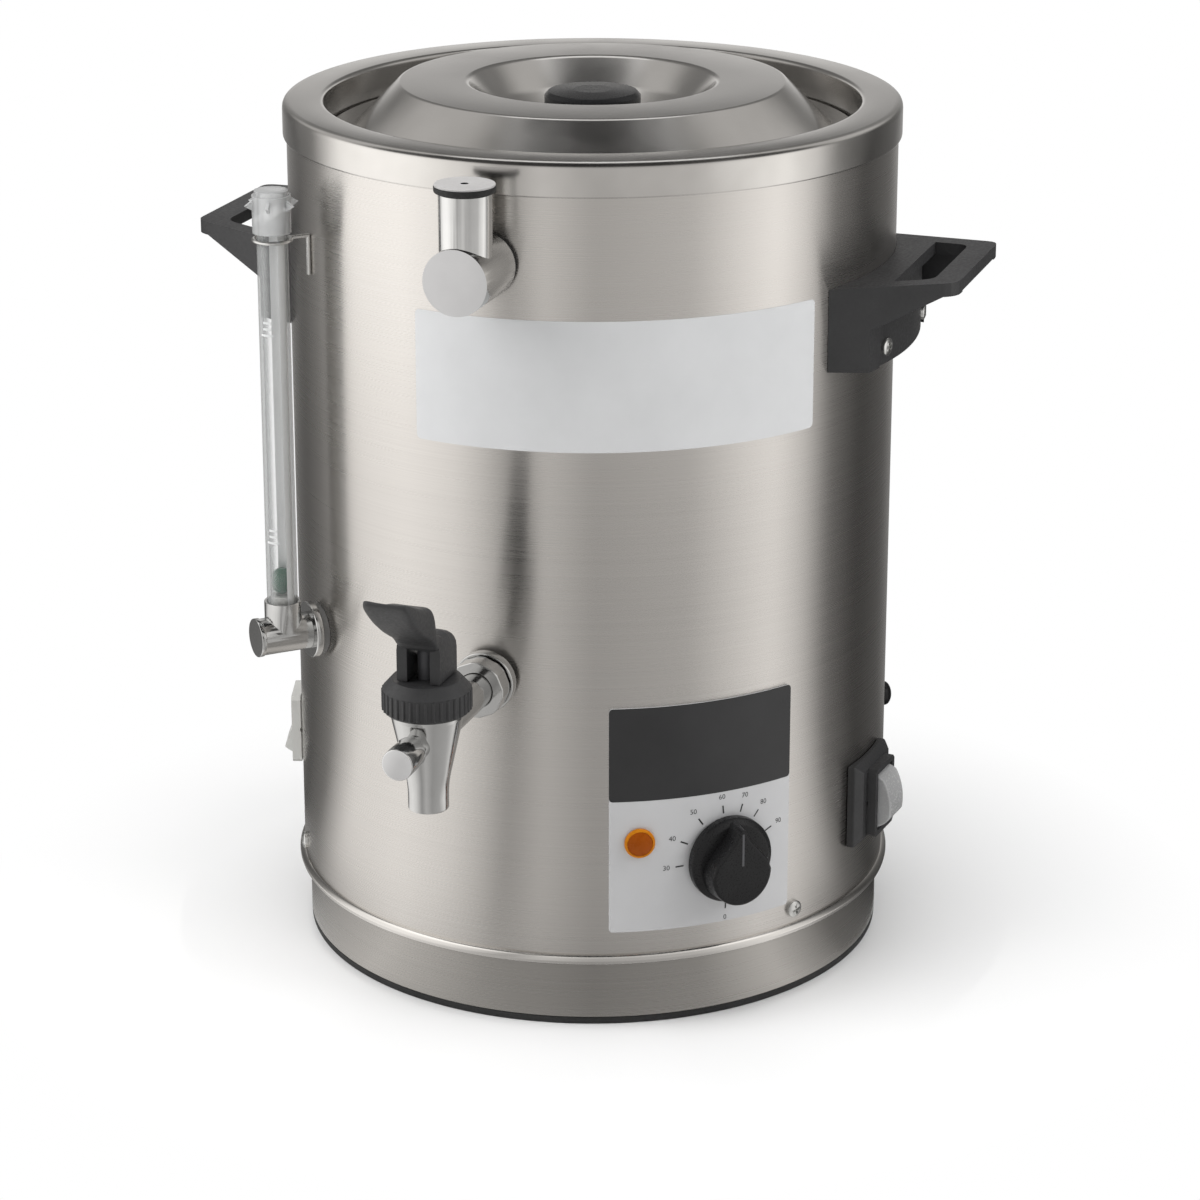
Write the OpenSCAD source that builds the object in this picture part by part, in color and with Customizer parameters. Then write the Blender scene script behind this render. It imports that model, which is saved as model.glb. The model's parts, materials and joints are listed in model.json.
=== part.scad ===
// Countertop hot chocolate dispenser: a water-jacketed steel vat with a lift-off lid,
// a self-closing lever tap, a level gauge, a water filler and a magnetic mixer.
// Millimetres. +Z is up, the tap points to -Y, and the origin lies on the body's
// axis in the plane that the foot ring stands on. Angles run from the tap towards +X.

/* [Shell and base] */
// Outer radius of the steel shell
shell_r = 125; // [118:0.5:132]
// Thickness of the steel sheet
sheet = 1; // [0.8:0.1:1.3]
// Height of the shell's lower edge above the table
shell_z0 = 32; // [28:0.5:36]
// Height at which the shell disappears under the rim's skirt
shell_z1 = 348; // [338:1:360]
// Setback of the base skirt behind the shell
base_setback = 2.3; // [1.5:0.1:3.5]
// How far the bead between base and shell stands proud of the shell
bead_proud = 2.2; // [1:0.1:3]
// Height of the spigot that the shell slips over
spigot_h = 14; // [11:0.5:18]
// Height of the rubber foot ring below the base skirt
foot_h = 3; // [2:0.5:5]
// Width of the rubber foot ring
foot_w = 6; // [4:0.5:10]
// Radius of the pan heads of the screws
screw_head_r = 3.6; // [3:0.1:4]
// Height of the pan heads of the screws
screw_head_h = 2.2; // [1.6:0.1:3]
// Radius of the screw shanks
screw_r = 2; // [1.5:0.1:2.5]
// Height of the base screws above the shell's lower edge
base_screw_up = 6.5; // [5:0.5:8]
// Directions of the base screws
base_screw_angles = [60, -60, 180];

/* [Rim and lid] */
// How far the rim's skirt stands outside the shell
rim_proud = 1.5; // [1.2:0.1:2.5]
// Height of the rim above the shell
rim_h = 10; // [8:0.5:14]
// Radius of the rim's rounded outer edge
rim_edge_r = 4; // [2.5:0.5:5]
// Depth of the ledge for the lid below the rim's top
ledge_depth = 13; // [10:0.5:18]
// Overlap of the lid's flange on the ledge
lid_overlap = 8; // [5:0.5:10]
// Width of the gap around the lid's flange
lid_gap = 1.5; // [1:0.1:3]
// Height of the lid's raised crown above its flange
lid_rise = 18; // [14:0.5:22]
// Radius of the flat crown's outer edge
crown_r = 79; // [74:0.5:81]
// Radius of the dish in the middle of the lid
dish_r = 51; // [46:0.5:58]
// Radius of the dish's flat floor
dish_floor_r = 31; // [27:0.5:34]
// Depth of the dish below the crown
dish_depth = 20; // [16:0.5:22]
// Radius of the lid's knob
lid_knob_r = 19.7; // [16:0.1:22]
// Radius of the neck under the lid's knob
lid_neck_r = 12; // [9:0.5:14]
// Height of the lid's knob above the dish's floor
lid_knob_h = 16; // [13:0.5:19]

/* [Vat and jacket] */
// Inner radius of the vat
vat_r = 100; // [95:0.5:103]
// Height of the vat's floor above the table
vat_z = 141; // [136:0.5:148]
// Radius of the corner between the vat's floor and wall
vat_corner_r = 3; // [2:0.5:5]
// Height of the water jacket's floor above the table
jacket_z = 110; // [106:0.5:116]
// Radius of the dry well under the vat that holds the drive magnet
well_r = 31; // [28:0.5:36]
// Gap between the well's top and the vat
well_gap = 2; // [1.5:0.1:4]
// Radius of the heating element's ring
heater_ring_r = 66; // [55:0.5:75]
// Radius of the heating element's tube
heater_r = 4; // [3:0.1:5]
// Height of the heating element above the jacket's floor
heater_up = 12; // [8:0.5:16]

/* [Tap] */
// Height of the tap's shank above the vat's floor
tap_up = 8; // [7.5:0.1:12]
// Distance of the spout's axis from the body's axis
tap_reach = 191.5; // [186:0.5:200]
// Outer radius of the shank and of the vat's outlet pipe
shank_r = 7; // [6:0.1:7.4]
// Bore radius of the shank
shank_bore_r = 4.5; // [3.5:0.1:5]
// Outer radius of the spout
spout_r = 7.8; // [7:0.1:9]
// Bore radius of the spout
spout_bore_r = 5.2; // [4.5:0.1:5.8]
// Depth of the spout's mouth below the shank's axis
spout_drop = 29; // [26:0.5:34]
// Height of the spout's straight end
spout_end_h = 10; // [7:0.5:12]
// Radius of the tap's body under the collar
tap_top_r = 13.8; // [13:0.1:14.5]
// Height of the collar's lower edge above the shank's axis
collar_up = 9.5; // [8.5:0.5:12]
// Outer radius of the ribbed collar
collar_r = 17.2; // [16.8:0.1:19]
// Height of the collar's ribbed side
collar_side_h = 10.5; // [9:0.5:13]
// Height of the collar's sloping shoulder
collar_shoulder_h = 4; // [3:0.5:5]
// Number of ribs round the collar
collar_ribs = 36; // [24:1:44]
// Radius of the valve's stem
stem_r = 3.4; // [3:0.1:3.8]
// Radius of the pivot pin
pivot_r = 1.5; // [1.2:0.1:1.8]
// Height of the pivot pin above the collar
pivot_up = 10; // [9:0.5:12]
// Width of the lever's fork
fork_w = 17.5; // [16:0.5:20]
// Reach of the lever's tip beyond the spout's axis
lever_reach = 41; // [36:0.5:48]
// Height of the lever's tip above the pivot
lever_tip_up = 32; // [27:0.5:36]
// Width of the lever's paddle
paddle_w = 18.5; // [17:0.5:22]
// Radius of the front plug
plug_r = 6.2; // [5.5:0.1:7]
// Reach of the front plug's face beyond the spout's axis
plug_reach = 31; // [27:0.5:34]
// Radius of the nuts on the shank
shank_nut_r = 11.5; // [10.5:0.1:13]

/* [Level gauge] */
// Direction of the gauge
gauge_angle = -45; // [-52:1:-38]
// Height of the gauge's elbow above the jacket's floor
gauge_up = 36.5; // [30:0.5:44]
// Distance of the glass tube's axis from the shell
gauge_off = 16; // [14:0.5:20]
// Outer radius of the glass tube
glass_r = 6.3; // [5.8:0.1:6.8]
// Wall of the glass tube
glass_wall = 1.5; // [1.2:0.1:1.8]
// Length of the glass tube
glass_len = 163; // [150:1:172]
// Radius of the gauge's elbow
elbow_r = 7.6; // [7:0.1:8.5]
// Length of the float
float_len = 11; // [9:0.5:16]
// Radius of the clip's wire
clip_wire_r = 0.8; // [0.6:0.1:1.1]
// Length of the clip's foot on the shell
clip_foot = 16; // [10:0.5:22]
// Height of the gauge's cap above the glass
gauge_cap_h = 14; // [11:0.5:18]

/* [Filler] */
// Depth of the filler's axis below the shell's upper edge
filler_drop = 31; // [28:0.5:40]
// Distance of the filler's mouth from the shell
filler_off = 21; // [19:0.5:26]
// Radius of the filler's horizontal barrel
filler_barrel_r = 12.9; // [12:0.1:14]
// Radius of the filler's upright tube
filler_tube_r = 10.2; // [9.5:0.1:11]
// Wall of the filler's tubes
filler_wall = 2; // [1.5:0.1:2.5]
// Height of the filler's mouth above its axis
filler_rise = 32; // [28:0.5:36]
// Radius of the filler's cap
filler_cap_r = 11.8; // [11.3:0.1:13]

/* [Handles] */
// Depth of the handles' lower edge below the shell's upper edge
handle_drop = 84; // [76:0.5:92]
// Height of the handles' top above their lower edge, at the shell
handle_h = 33.5; // [30:0.5:37]
// Thickness of the handles' curved mounting block
handle_block_t = 11; // [9:0.5:13]
// Width of the handles along the shell
handle_w = 100; // [90:1:108]
// Reach of the handles beyond the shell
handle_reach = 38; // [35:0.5:44]
// Length of the grip bar
grip_len = 70; // [64:1:78]
// Width of the handles' grip bar
grip_w = 11; // [9:0.5:13]
// Thickness of the handles' grip bar
grip_t = 5; // [4:0.5:6]
// Rise of the handles from the shell to the grip's outer edge
handle_tilt = 3.5; // [2:0.5:6]
// Thickness of the cheeks at both ends of a handle
cheek_t = 8; // [6:0.5:9]
// Height of the cheeks' upright front edge
cheek_h = 17; // [14:0.5:19]
// Angle of each handle screw from the handle's middle
handle_screw_angle = 12.3; // [10:0.1:14]
// Height of the handle screws above the handle's lower edge
handle_screw_up = 7; // [6:0.5:10]

/* [Controls] */
// Direction of the control panel's middle
panel_angle = 40; // [36:0.5:44]
// Width of the control panel along the shell
panel_w = 79; // [76:0.5:86]
// Height of the control panel
panel_h = 96; // [88:0.5:104]
// Thickness of the control panel
panel_t = 0.8; // [0.5:0.1:1.2]
// Height of the panel's lower edge above the shell's lower edge
panel_up = 10; // [9:0.5:14]
// Angle of the thermostat knob from the panel's middle
knob_angle = 4.5; // [3:0.5:6]
// Height of the thermostat knob above the panel's lower edge
knob_up = 28; // [25:0.5:32]
// Radius of the thermostat knob
knob_r = 18; // [16:0.5:19]
// Height of the thermostat knob
knob_h = 15.5; // [13:0.5:18]
// Radius of the thermostat's shaft
knob_shaft_r = 3; // [2.5:0.1:3.5]
// Angle of the lamp from the panel's middle
lamp_angle = -12.5; // [-14:0.5:-11]
// Height of the lamp above the panel's lower edge
lamp_up = 38.7; // [36:0.1:44]
// Radius of the lamp's lens
lamp_r = 6.2; // [5.5:0.1:7]
// Direction of the main switch
switch_angle = 84.5; // [80:0.5:88]
// Direction of the mixer's switch
mixer_switch_angle = -72; // [-78:0.5:-68]
// Height of the main switch's middle above the shell's lower edge
switch_up = 40; // [36:0.5:46]
// Height of the mixer switch's middle above the shell's lower edge
mixer_switch_up = 51; // [44:0.5:54]
// Side of the square frame under the main switch
frame_w = 36; // [34:0.5:40]
// Thickness of the frame under the main switch
frame_t = 5; // [4:0.5:6]
// Width of a switch's bezel
bezel_w = 22; // [21:0.5:24]
// Height of a switch's bezel
bezel_h = 30; // [29:0.5:32]
// Thickness of a switch's bezel
bezel_t = 4; // [3:0.5:5]
// Width of a switch's rocker
rocker_w = 16; // [14:0.5:17]
// Radius of a rocker's rounded ends about its pivot
rocker_r = 12.4; // [11.5:0.1:12.8]
// Tilt of a rocker to either side
rocker_tilt = 10; // [7:0.5:11]
// Direction of the reset button
reset_angle = 116; // [112:0.5:124]
// Height of the reset button above the shell's lower edge
reset_up = 58.5; // [52:0.5:62]
// Radius of the reset button
reset_r = 5.2; // [4.5:0.1:6]
// How far the reset button stands out of its guide
reset_proud = 5; // [4:0.5:6]
// Travel of the reset button
reset_travel = 2.5; // [1.5:0.1:3]
// Height of the cable gland above the shell's lower edge
gland_up = 24; // [22:0.5:34]
// Bore radius of the cable gland
gland_bore_r = 3.8; // [3:0.1:4.5]

/* [Mixer] */
// Radius of the stirrer in the vat
stirrer_r = 26; // [22:0.5:30]
// Height of the stirrer
stirrer_h = 9; // [7:0.5:10]
// Radius of the post that the stirrer turns on
post_r = 3; // [2.5:0.1:3.5]
// Height of the insert disc above the vat's floor
insert_up = 18; // [16:0.5:22]
// Radius of the holes in the insert disc
insert_hole_r = 4; // [3:0.1:4.5]
// Radius of the drive magnet in the well
magnet_r = 25; // [22:0.5:27]
// Thickness of the drive magnet
magnet_h = 10; // [8:0.5:13]
// Radius of the mixer's motor
motor_r = 28; // [24:0.5:32]
// Length of the mixer's motor
motor_len = 45; // [38:0.5:50]
// Radius of the motor's shaft
motor_shaft_r = 3; // [2.5:0.1:3.5]

/* [Clearances] */
// Clearance of fixed pieces in their seats
seat = 0.1; // [0.05:0.01:0.2]
// Running clearance of pins and shafts
run = 0.05; // [0.03:0.01:0.09]
// Clearance of loose moving pieces
loose = 0.4; // [0.3:0.05:0.6]

/* [Hidden] */
$fn = 96;
eps = 0.01;

// Heights
rim_top = shell_z1 + rim_h;
ledge_z = rim_top - ledge_depth;
lid_z = ledge_z + loose;
crown_z = lid_z + sheet + lid_rise;
dish_z = crown_z - dish_depth;
tap_z = vat_z + tap_up;
gauge_z = jacket_z + gauge_up;
filler_z = shell_z1 - filler_drop;
filler_top = filler_z + filler_rise;
handle_z = shell_z1 - handle_drop;
panel_z = shell_z0 + panel_up;
well_top = vat_z - sheet - well_gap;
foot_lip = 3;
plate_z = foot_h + foot_lip;
plate_t = 1.5;

// Radii
shell_in = shell_r - sheet;
base_r = shell_r - base_setback;
bead_r = (bead_proud + base_setback) / 2 + 0.15;
bead_c = shell_r + bead_proud - bead_r;
bead_flat = 0.3;
bead_z = shell_z0 - bead_r + bead_flat;
rim_r = shell_r + rim_proud;
flange_r = vat_r + lid_overlap;
rim_in = flange_r + lid_gap;
rim_inner_edge_r = 2;
shell_tuck = rim_h - rim_edge_r;

// Outlines as point lists
function side_normal(a, b) = let (d = b - a, n = norm(d)) [d[1], -d[0]] / n;
function mitre(a, b) = (a + b) * 2 / ((a + b) * (a + b));
function shifted(p, t) = let (last = len(p) - 1) [for (i = [0:last])
    let (before = side_normal(p[max(i - 1, 0)], p[max(i, 1)]),
         after = side_normal(p[min(i, last - 1)], p[min(i + 1, last)]))
    p[i] + t * mitre(before, after)];
function reversed(p) = [for (i = [len(p) - 1:-1:0]) p[i]];
function arc(c, r, a0, a1, n = 8) = [for (i = [0:n])
    let (a = a0 + (a1 - a0) * i / n) c + r * [cos(a), sin(a)]];

// Sheet of even thickness turned round the body's axis
module turned_sheet(path, t) {
    rotate_extrude() polygon(concat(path, reversed(shifted(path, t))));
}

// Local frame on the shell: +X points outwards in a direction, +Z is up
module facing(angle) {
    rotate([0, 0, angle - 90]) children();
}

// Round bar along local X from one distance to another
module bar(x0, x1, r) {
    translate([x0, 0, 0]) rotate([0, 90, 0]) cylinder(h = x1 - x0, r = r);
}

// Ring along local X
module collar_ring(x0, x1, r, bore_r) {
    difference() {
        bar(x0, x1, r);
        bar(x0 - 1, x1 + 1, bore_r);
    }
}

// Ring whose back follows the shell's curve
module saddle_ring(t, r, bore_r, z) {
    difference() {
        translate([0, 0, z]) collar_ring(shell_in, shell_r + t, r, bore_r);
        translate([0, 0, z - 2 * r]) cylinder(h = 4 * r, r = shell_r + seat, $fn = 192);
    }
}

// Sector of a curved plate that lies on the shell
module curved_plate(w, h, t) {
    half = w / 2 / shell_r * 180 / PI;
    rotate([0, 0, -half]) rotate_extrude(angle = 2 * half, $fn = 192)
        translate([shell_r + seat, 0]) square([t, h]);
}

// Pan-head screw along local X, with its head's underside at x
module pan_screw(x, length) {
    side_h = screw_head_h / 2;
    translate([x, 0, 0]) rotate([0, 90, 0]) rotate_extrude($fn = 48) polygon(concat(
        [[0, -length], [screw_r, -length], [screw_r, 0], [screw_head_r, 0], [screw_head_r, side_h]],
        [for (i = [1:6]) [screw_head_r * cos(i * 15), side_h + side_h * sin(i * 15)]]));
}

// Base

foot_r = base_r;
base_screw_z = shell_z0 + base_screw_up;
base_screw_len = 8;
spigot_r = shell_in - seat;

module base_ring() {
    color([0.72, 0.71, 0.69]) difference() {
        union() {
            translate([0, 0, foot_h]) difference() {
                cylinder(h = bead_z - foot_h, r = base_r, $fn = 192);
                translate([0, 0, -1]) cylinder(h = bead_z, r = base_r - sheet, $fn = 192);
            }
            intersection() {
                rotate_extrude($fn = 192) translate([bead_c, bead_z]) circle(bead_r, $fn = 48);
                cylinder(h = shell_z0, r = 2 * shell_r);
            }
            translate([0, 0, bead_z]) difference() {
                cylinder(h = shell_z0 + spigot_h - bead_z, r = spigot_r, $fn = 192);
                translate([0, 0, -1])
                    cylinder(h = shell_z0 + spigot_h, r = spigot_r - sheet, $fn = 192);
            }
        }
        for (a = base_screw_angles) facing(a) translate([0, 0, base_screw_z])
            bar(base_r - 2 * base_screw_len, shell_r, screw_r + seat);
    }
}

module foot_ring() {
    color([0.08, 0.08, 0.08]) rotate_extrude($fn = 192) polygon([
        [foot_r - foot_w, 0], [foot_r - seat, 0], [foot_r, foot_h], [foot_r - sheet - seat, foot_h],
        [foot_r - sheet - seat, plate_z], [foot_r - foot_w, plate_z]]);
}

module base_plate() {
    vent_ring = base_r / 2;
    vents = 8;
    vent_r = 5;
    color([0.6, 0.6, 0.6]) translate([0, 0, plate_z]) difference() {
        cylinder(h = plate_t, r = base_r - sheet - 2 * seat, $fn = 192);
        for (i = [0:vents - 1]) rotate([0, 0, 360 / vents * (i + 0.5)])
            translate([vent_ring, 0, -1]) cylinder(h = plate_t + 2, r = vent_r);
    }
}

// Shell, rim and vat

module outer_shell() {
    hole_reach = 2 * sheet + 3;
    color([0.74, 0.73, 0.71]) difference() {
        translate([0, 0, shell_z0])
            cylinder(h = shell_z1 + shell_tuck - shell_z0, r = shell_r, $fn = 192);
        cylinder(h = rim_top, r = shell_in, $fn = 192);
        for (a = base_screw_angles) shell_hole(a, base_screw_z, screw_r + seat, hole_reach);
        for (side = [-90, 90]) for (s = [-1, 1])
            shell_hole(side + s * handle_screw_angle, handle_screw_z, screw_r + seat, hole_reach);
        shell_hole(0, tap_z, shank_r + seat, hole_reach);
        shell_hole(0, filler_z, filler_pipe_r + seat, hole_reach);
        shell_hole(gauge_angle, gauge_z, gauge_pipe_r + seat, hole_reach);
        shell_hole(panel_angle + knob_angle, knob_z, bush_r + seat, hole_reach);
        shell_hole(panel_angle + lamp_angle, lamp_z, lamp_body_r + seat, hole_reach);
        shell_hole(reset_angle, reset_z, guide_r + seat, hole_reach);
        shell_hole(180, gland_z, gland_thread_r + seat, hole_reach);
        switch_cutout(switch_angle, switch_z);
        switch_cutout(mixer_switch_angle, mixer_switch_z);
    }
}

module shell_hole(angle, z, r, reach) {
    facing(angle) translate([0, 0, z]) bar(shell_r - reach, shell_r + reach, r);
}

module switch_cutout(angle, z) {
    facing(angle) translate([shell_r, 0, z])
        cube([switch_depth, switch_body_w + 2 * seat, switch_body_h + 2 * seat], center = true);
}

module top_rim() {
    path = concat(
        [[rim_r, shell_z1]],
        arc([rim_r - rim_edge_r, rim_top - rim_edge_r], rim_edge_r, 0, 90),
        arc([rim_in + rim_inner_edge_r, rim_top - rim_inner_edge_r], rim_inner_edge_r, 90, 180),
        [[rim_in, ledge_z], [vat_r, ledge_z]]);
    color([0.62, 0.61, 0.59]) turned_sheet(path, -sheet, $fn = 192);
}

post_h = stirrer_h + 4;

module vat() {
    path = concat(
        [[0, vat_z]],
        arc([vat_r - vat_corner_r, vat_z + vat_corner_r], vat_corner_r, -90, 0),
        [[vat_r, ledge_z - sheet]]);
    color([0.7, 0.7, 0.7]) difference() {
        union() {
            turned_sheet(path, sheet, $fn = 192);
            translate([0, 0, vat_z - sheet / 2]) cylinder(h = post_h + sheet / 2, r = post_r);
        }
        facing(0) translate([0, 0, tap_z]) bar(vat_r / 2, shell_r, shank_r + seat);
    }
}

jacket_flange_h = 10;

module jacket_floor() {
    wall_r = spigot_r - sheet;
    path = [[0, well_top], [well_r, well_top], [well_r, jacket_z],
        [wall_r, jacket_z], [wall_r, jacket_z + jacket_flange_h]];
    color([0.66, 0.66, 0.66]) difference() {
        turned_sheet(path, sheet, $fn = 192);
        heater_leads(heater_r + seat);
    }
}

heater_gap_angle = 20;
heater_lead_len = heater_up + 12;
heater_z = jacket_z + heater_up;
heater_ends = [for (s = [-1, 1]) 180 + s * heater_gap_angle / 2];

module heater_leads(r) {
    for (a = heater_ends) facing(a)
        translate([heater_ring_r, 0, heater_z - heater_lead_len]) cylinder(h = heater_lead_len, r = r);
}

module heating_element() {
    flange_h = 2;
    color([0.35, 0.33, 0.32]) {
        rotate([0, 0, heater_ends[1] - 90]) rotate_extrude(angle = 360 - heater_gap_angle)
            translate([heater_ring_r, heater_z]) circle(heater_r, $fn = 32);
        for (a = heater_ends) facing(a) translate([heater_ring_r, 0, heater_z]) sphere(heater_r);
        heater_leads(heater_r);
        for (a = heater_ends) facing(a) translate([heater_ring_r, 0, jacket_z])
            cylinder(h = flange_h, r = heater_r + flange_h);
    }
}

// Lid

lid_bolt_r = 3;

module lid_shell() {
    skirt_r = crown_r + lid_rise;
    bend_r = 2.5;
    wall_r = (dish_r - dish_floor_r);
    path = concat(
        [[flange_r, lid_z + sheet], [skirt_r, lid_z + sheet]],
        [[crown_r, crown_z]],
        arc([dish_r, crown_z - bend_r], bend_r, 90, 135, 4),
        [[dish_r - wall_r * 0.45, crown_z - dish_depth * 0.55],
         [dish_r - wall_r * 0.75, crown_z - dish_depth * 0.88],
         [dish_floor_r, dish_z], [0, dish_z]]);
    color([0.6, 0.59, 0.57]) difference() {
        turned_sheet(path, -sheet, $fn = 192);
        translate([0, 0, dish_z - 2 * sheet]) cylinder(h = 4 * sheet, r = lid_bolt_r + seat);
    }
}

module lid_knob() {
    dome_h = 3;
    edge_h = 5;
    z1 = dish_z + lid_knob_h;
    color([0.1, 0.1, 0.1]) difference() {
        rotate_extrude() polygon(concat(
            [[0, dish_z], [lid_neck_r + 2, dish_z], [lid_neck_r, dish_z + 3],
             [lid_neck_r, z1 - dome_h - edge_h - 2], [lid_knob_r - 1, z1 - dome_h - edge_h]],
            arc([lid_knob_r - edge_h / 2, z1 - dome_h - edge_h / 2], edge_h / 2, -60, 60),
            [[lid_knob_r * 0.6, z1 - dome_h * 0.3], [0, z1]]));
        translate([0, 0, dish_z - 1]) cylinder(h = lid_knob_h - dome_h - 2, r = lid_bolt_r + seat);
    }
}

module lid_screw() {
    head_h = 2.5;
    color([0.75, 0.75, 0.75]) translate([0, 0, dish_z - sheet]) {
        translate([0, 0, -head_h]) cylinder(h = head_h, r = 2 * lid_bolt_r);
        translate([0, 0, -eps]) cylinder(h = lid_knob_h - 6, r = lid_bolt_r);
    }
}

// Handles

handle_screw_z = handle_z + handle_screw_up;
handle_block_r = shell_r + handle_block_t;
handle_screw_len = handle_block_t + 6;
handle_half = handle_w / 2;
handle_x0 = sqrt(shell_r * shell_r - handle_half * handle_half) - 1;
handle_x1 = shell_r + handle_reach;
cheek_x = handle_block_r + 0.5;
arm_w = cheek_t + 1;

// Half width and top of a handle at a distance from the body's axis
function handle_half_at(x) = handle_half
    - (handle_half - grip_len / 2) * (x - handle_x0) / (handle_x1 - handle_x0);
function handle_top_at(x) = handle_z + handle_h + handle_tilt * (x - handle_x0) / (handle_x1 - handle_x0);

// Points round a corner b of an outline, from its side towards a to its side towards c
function bend(a, b, c, r, n = 4) = let (p = b + r * (a - b) / norm(a - b), q = b + r * (c - b) / norm(c - b))
    r == 0 ? [b] : [for (i = [0:n]) let (t = i / n) (1 - t) * (1 - t) * p + 2 * t * (1 - t) * b + t * t * q];

// Outline from above, between two distances from the axis and set in from the handle's ends
function handle_plan(x0, x1, inset, r) = let (
        a = [x0, inset - handle_half_at(x0)], b = [x1, inset - handle_half_at(x1)],
        c = [x1, handle_half_at(x1) - inset], d = [x0, handle_half_at(x0) - inset])
    concat([a], bend(a, b, c, r), bend(b, c, d, r), [d]);

// Side view drawn out over a handle's whole width
module handle_side(points) {
    translate([0, handle_w, 0]) rotate([90, 0, 0]) linear_extrude(height = 2 * handle_w) polygon(points);
}

// Two cheeks that carry a sloping top with a grip bar, and a curved block between them
module handle_blank() {
    corner_r = 5;
    under = grip_t + 0.5;
    knee_x = handle_x1 - grip_w / 2;
    back_x = handle_x0 - 1;
    tip_x = handle_x1 + 1;
    difference() {
        intersection() {
            translate([0, 0, handle_z - 1]) linear_extrude(height = 2 * handle_h)
                polygon(handle_plan(handle_x0, handle_x1, 0, corner_r));
            handle_side([[back_x, handle_z], [cheek_x, handle_z], [cheek_x, handle_z + cheek_h],
                [knee_x, handle_top_at(knee_x) - under], [tip_x, handle_top_at(tip_x) - under],
                [tip_x, handle_top_at(tip_x)], [back_x, handle_top_at(back_x)]]);
        }
        // hollow between the cheeks, under the top
        difference() {
            intersection() {
                translate([0, 0, handle_z - 2]) linear_extrude(height = 2 * handle_h)
                    polygon(handle_plan(shell_r, handle_x1 + 2, cheek_t, 0));
                handle_side([[shell_r - 1, handle_z - 1], [tip_x + 2, handle_z - 1],
                    [tip_x + 2, handle_top_at(tip_x + 2) - grip_t],
                    [shell_r - 1, handle_top_at(shell_r - 1) - grip_t]]);
            }
            translate([0, 0, handle_z - 3]) cylinder(h = 2 * handle_h, r = handle_block_r, $fn = 192);
        }
        // opening behind the grip bar
        translate([0, 0, handle_z - 2]) linear_extrude(height = 2 * handle_h)
            polygon(handle_plan(handle_block_r + 1, handle_x1 - grip_w, arm_w, corner_r));
    }
}

module handle(side) {
    color([0.13, 0.13, 0.13]) difference() {
        facing(side) handle_blank();
        translate([0, 0, handle_z - 3]) cylinder(h = 2 * handle_h, r = shell_r + seat, $fn = 192);
        for (s = [-1, 1]) facing(side + s * handle_screw_angle)
            translate([0, 0, handle_screw_z]) bar(shell_r / 2, shell_r + handle_reach, screw_r + seat);
    }
}

module left_handle() { handle(-90); }

module right_handle() { handle(90); }

module case_screws() {
    color([0.78, 0.78, 0.78]) {
        for (a = base_screw_angles) facing(a) translate([0, 0, base_screw_z])
            pan_screw(shell_r, base_screw_len);
        for (side = [-90, 90]) for (s = [-1, 1]) facing(side + s * handle_screw_angle)
            translate([0, 0, handle_screw_z]) pan_screw(handle_block_r, handle_screw_len);
    }
}

// Tap

union_x = shell_r + 9;
nut_gap = 1;
tap_gasket_t = 2.5;
locknut_t = 4.5;
union_nut_t = 8;
chamber_r = tap_top_r - 3;
chamber_floor = tap_z - 1;
tap_rim_z = tap_z + collar_up + collar_side_h - 2;
spout_z = tap_z - spout_drop;
collar_z = tap_z + collar_up;
collar_top = collar_z + collar_side_h + collar_shoulder_h;
pivot_z = collar_top + pivot_up;
plug_boss_x = plug_reach - 14;

module in_tap() {
    facing(0) translate([tap_reach, 0, 0]) children();
}

module tap_outlet() {
    color([0.75, 0.75, 0.75]) facing(0) translate([0, 0, tap_z])
        collar_ring(vat_r - sheet / 2, union_x, shank_r, shank_bore_r);
}

module tap_gasket() {
    color([0.1, 0.1, 0.1]) facing(0) saddle_ring(tap_gasket_t, shank_nut_r - 1, shank_r + seat, tap_z);
}

module tap_locknut() {
    color([0.78, 0.78, 0.78]) facing(0) translate([0, 0, tap_z])
        collar_ring(shell_r + tap_gasket_t, shell_r + tap_gasket_t + locknut_t,
            shank_nut_r + 0.8, shank_r + seat);
}

module tap_union_nut() {
    x0 = shell_r + tap_gasket_t + locknut_t + nut_gap;
    color([0.78, 0.78, 0.78]) facing(0) translate([0, 0, tap_z]) intersection() {
        collar_ring(x0, x0 + union_nut_t, shank_nut_r, shank_r + seat);
        translate([x0, 0, 0]) rotate([0, 90, 0]) cylinder(h = union_nut_t, r = shank_nut_r + 0.6, $fn = 8);
    }
}

module tap_body() {
    neck_r = tap_top_r - 1;
    color([0.85, 0.85, 0.85]) difference() {
        union() {
            in_tap() rotate_extrude() polygon([
                [0, spout_z], [spout_r - 0.5, spout_z], [spout_r, spout_z + 0.8],
                [spout_r, spout_z + spout_end_h], [tap_top_r, collar_z - 1], [tap_top_r, collar_z],
                [neck_r, collar_z + 1], [neck_r, tap_rim_z], [0, tap_rim_z]]);
            facing(0) translate([0, 0, tap_z]) bar(union_x + seat, tap_reach, shank_r);
            in_tap() translate([0, 0, tap_z]) bar(0, plug_boss_x, plug_r - 1);
        }
        in_tap() translate([0, 0, chamber_floor]) cylinder(h = tap_rim_z, r = chamber_r);
        in_tap() translate([0, 0, spout_z - 1]) cylinder(h = tap_rim_z - spout_z, r = spout_bore_r);
        facing(0) translate([0, 0, tap_z + shank_bore_r]) bar(union_x - 1, tap_reach, shank_bore_r);
        in_tap() translate([0, 0, tap_z]) bar(0, plug_boss_x + 1, plug_r - 3);
    }
}

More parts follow.
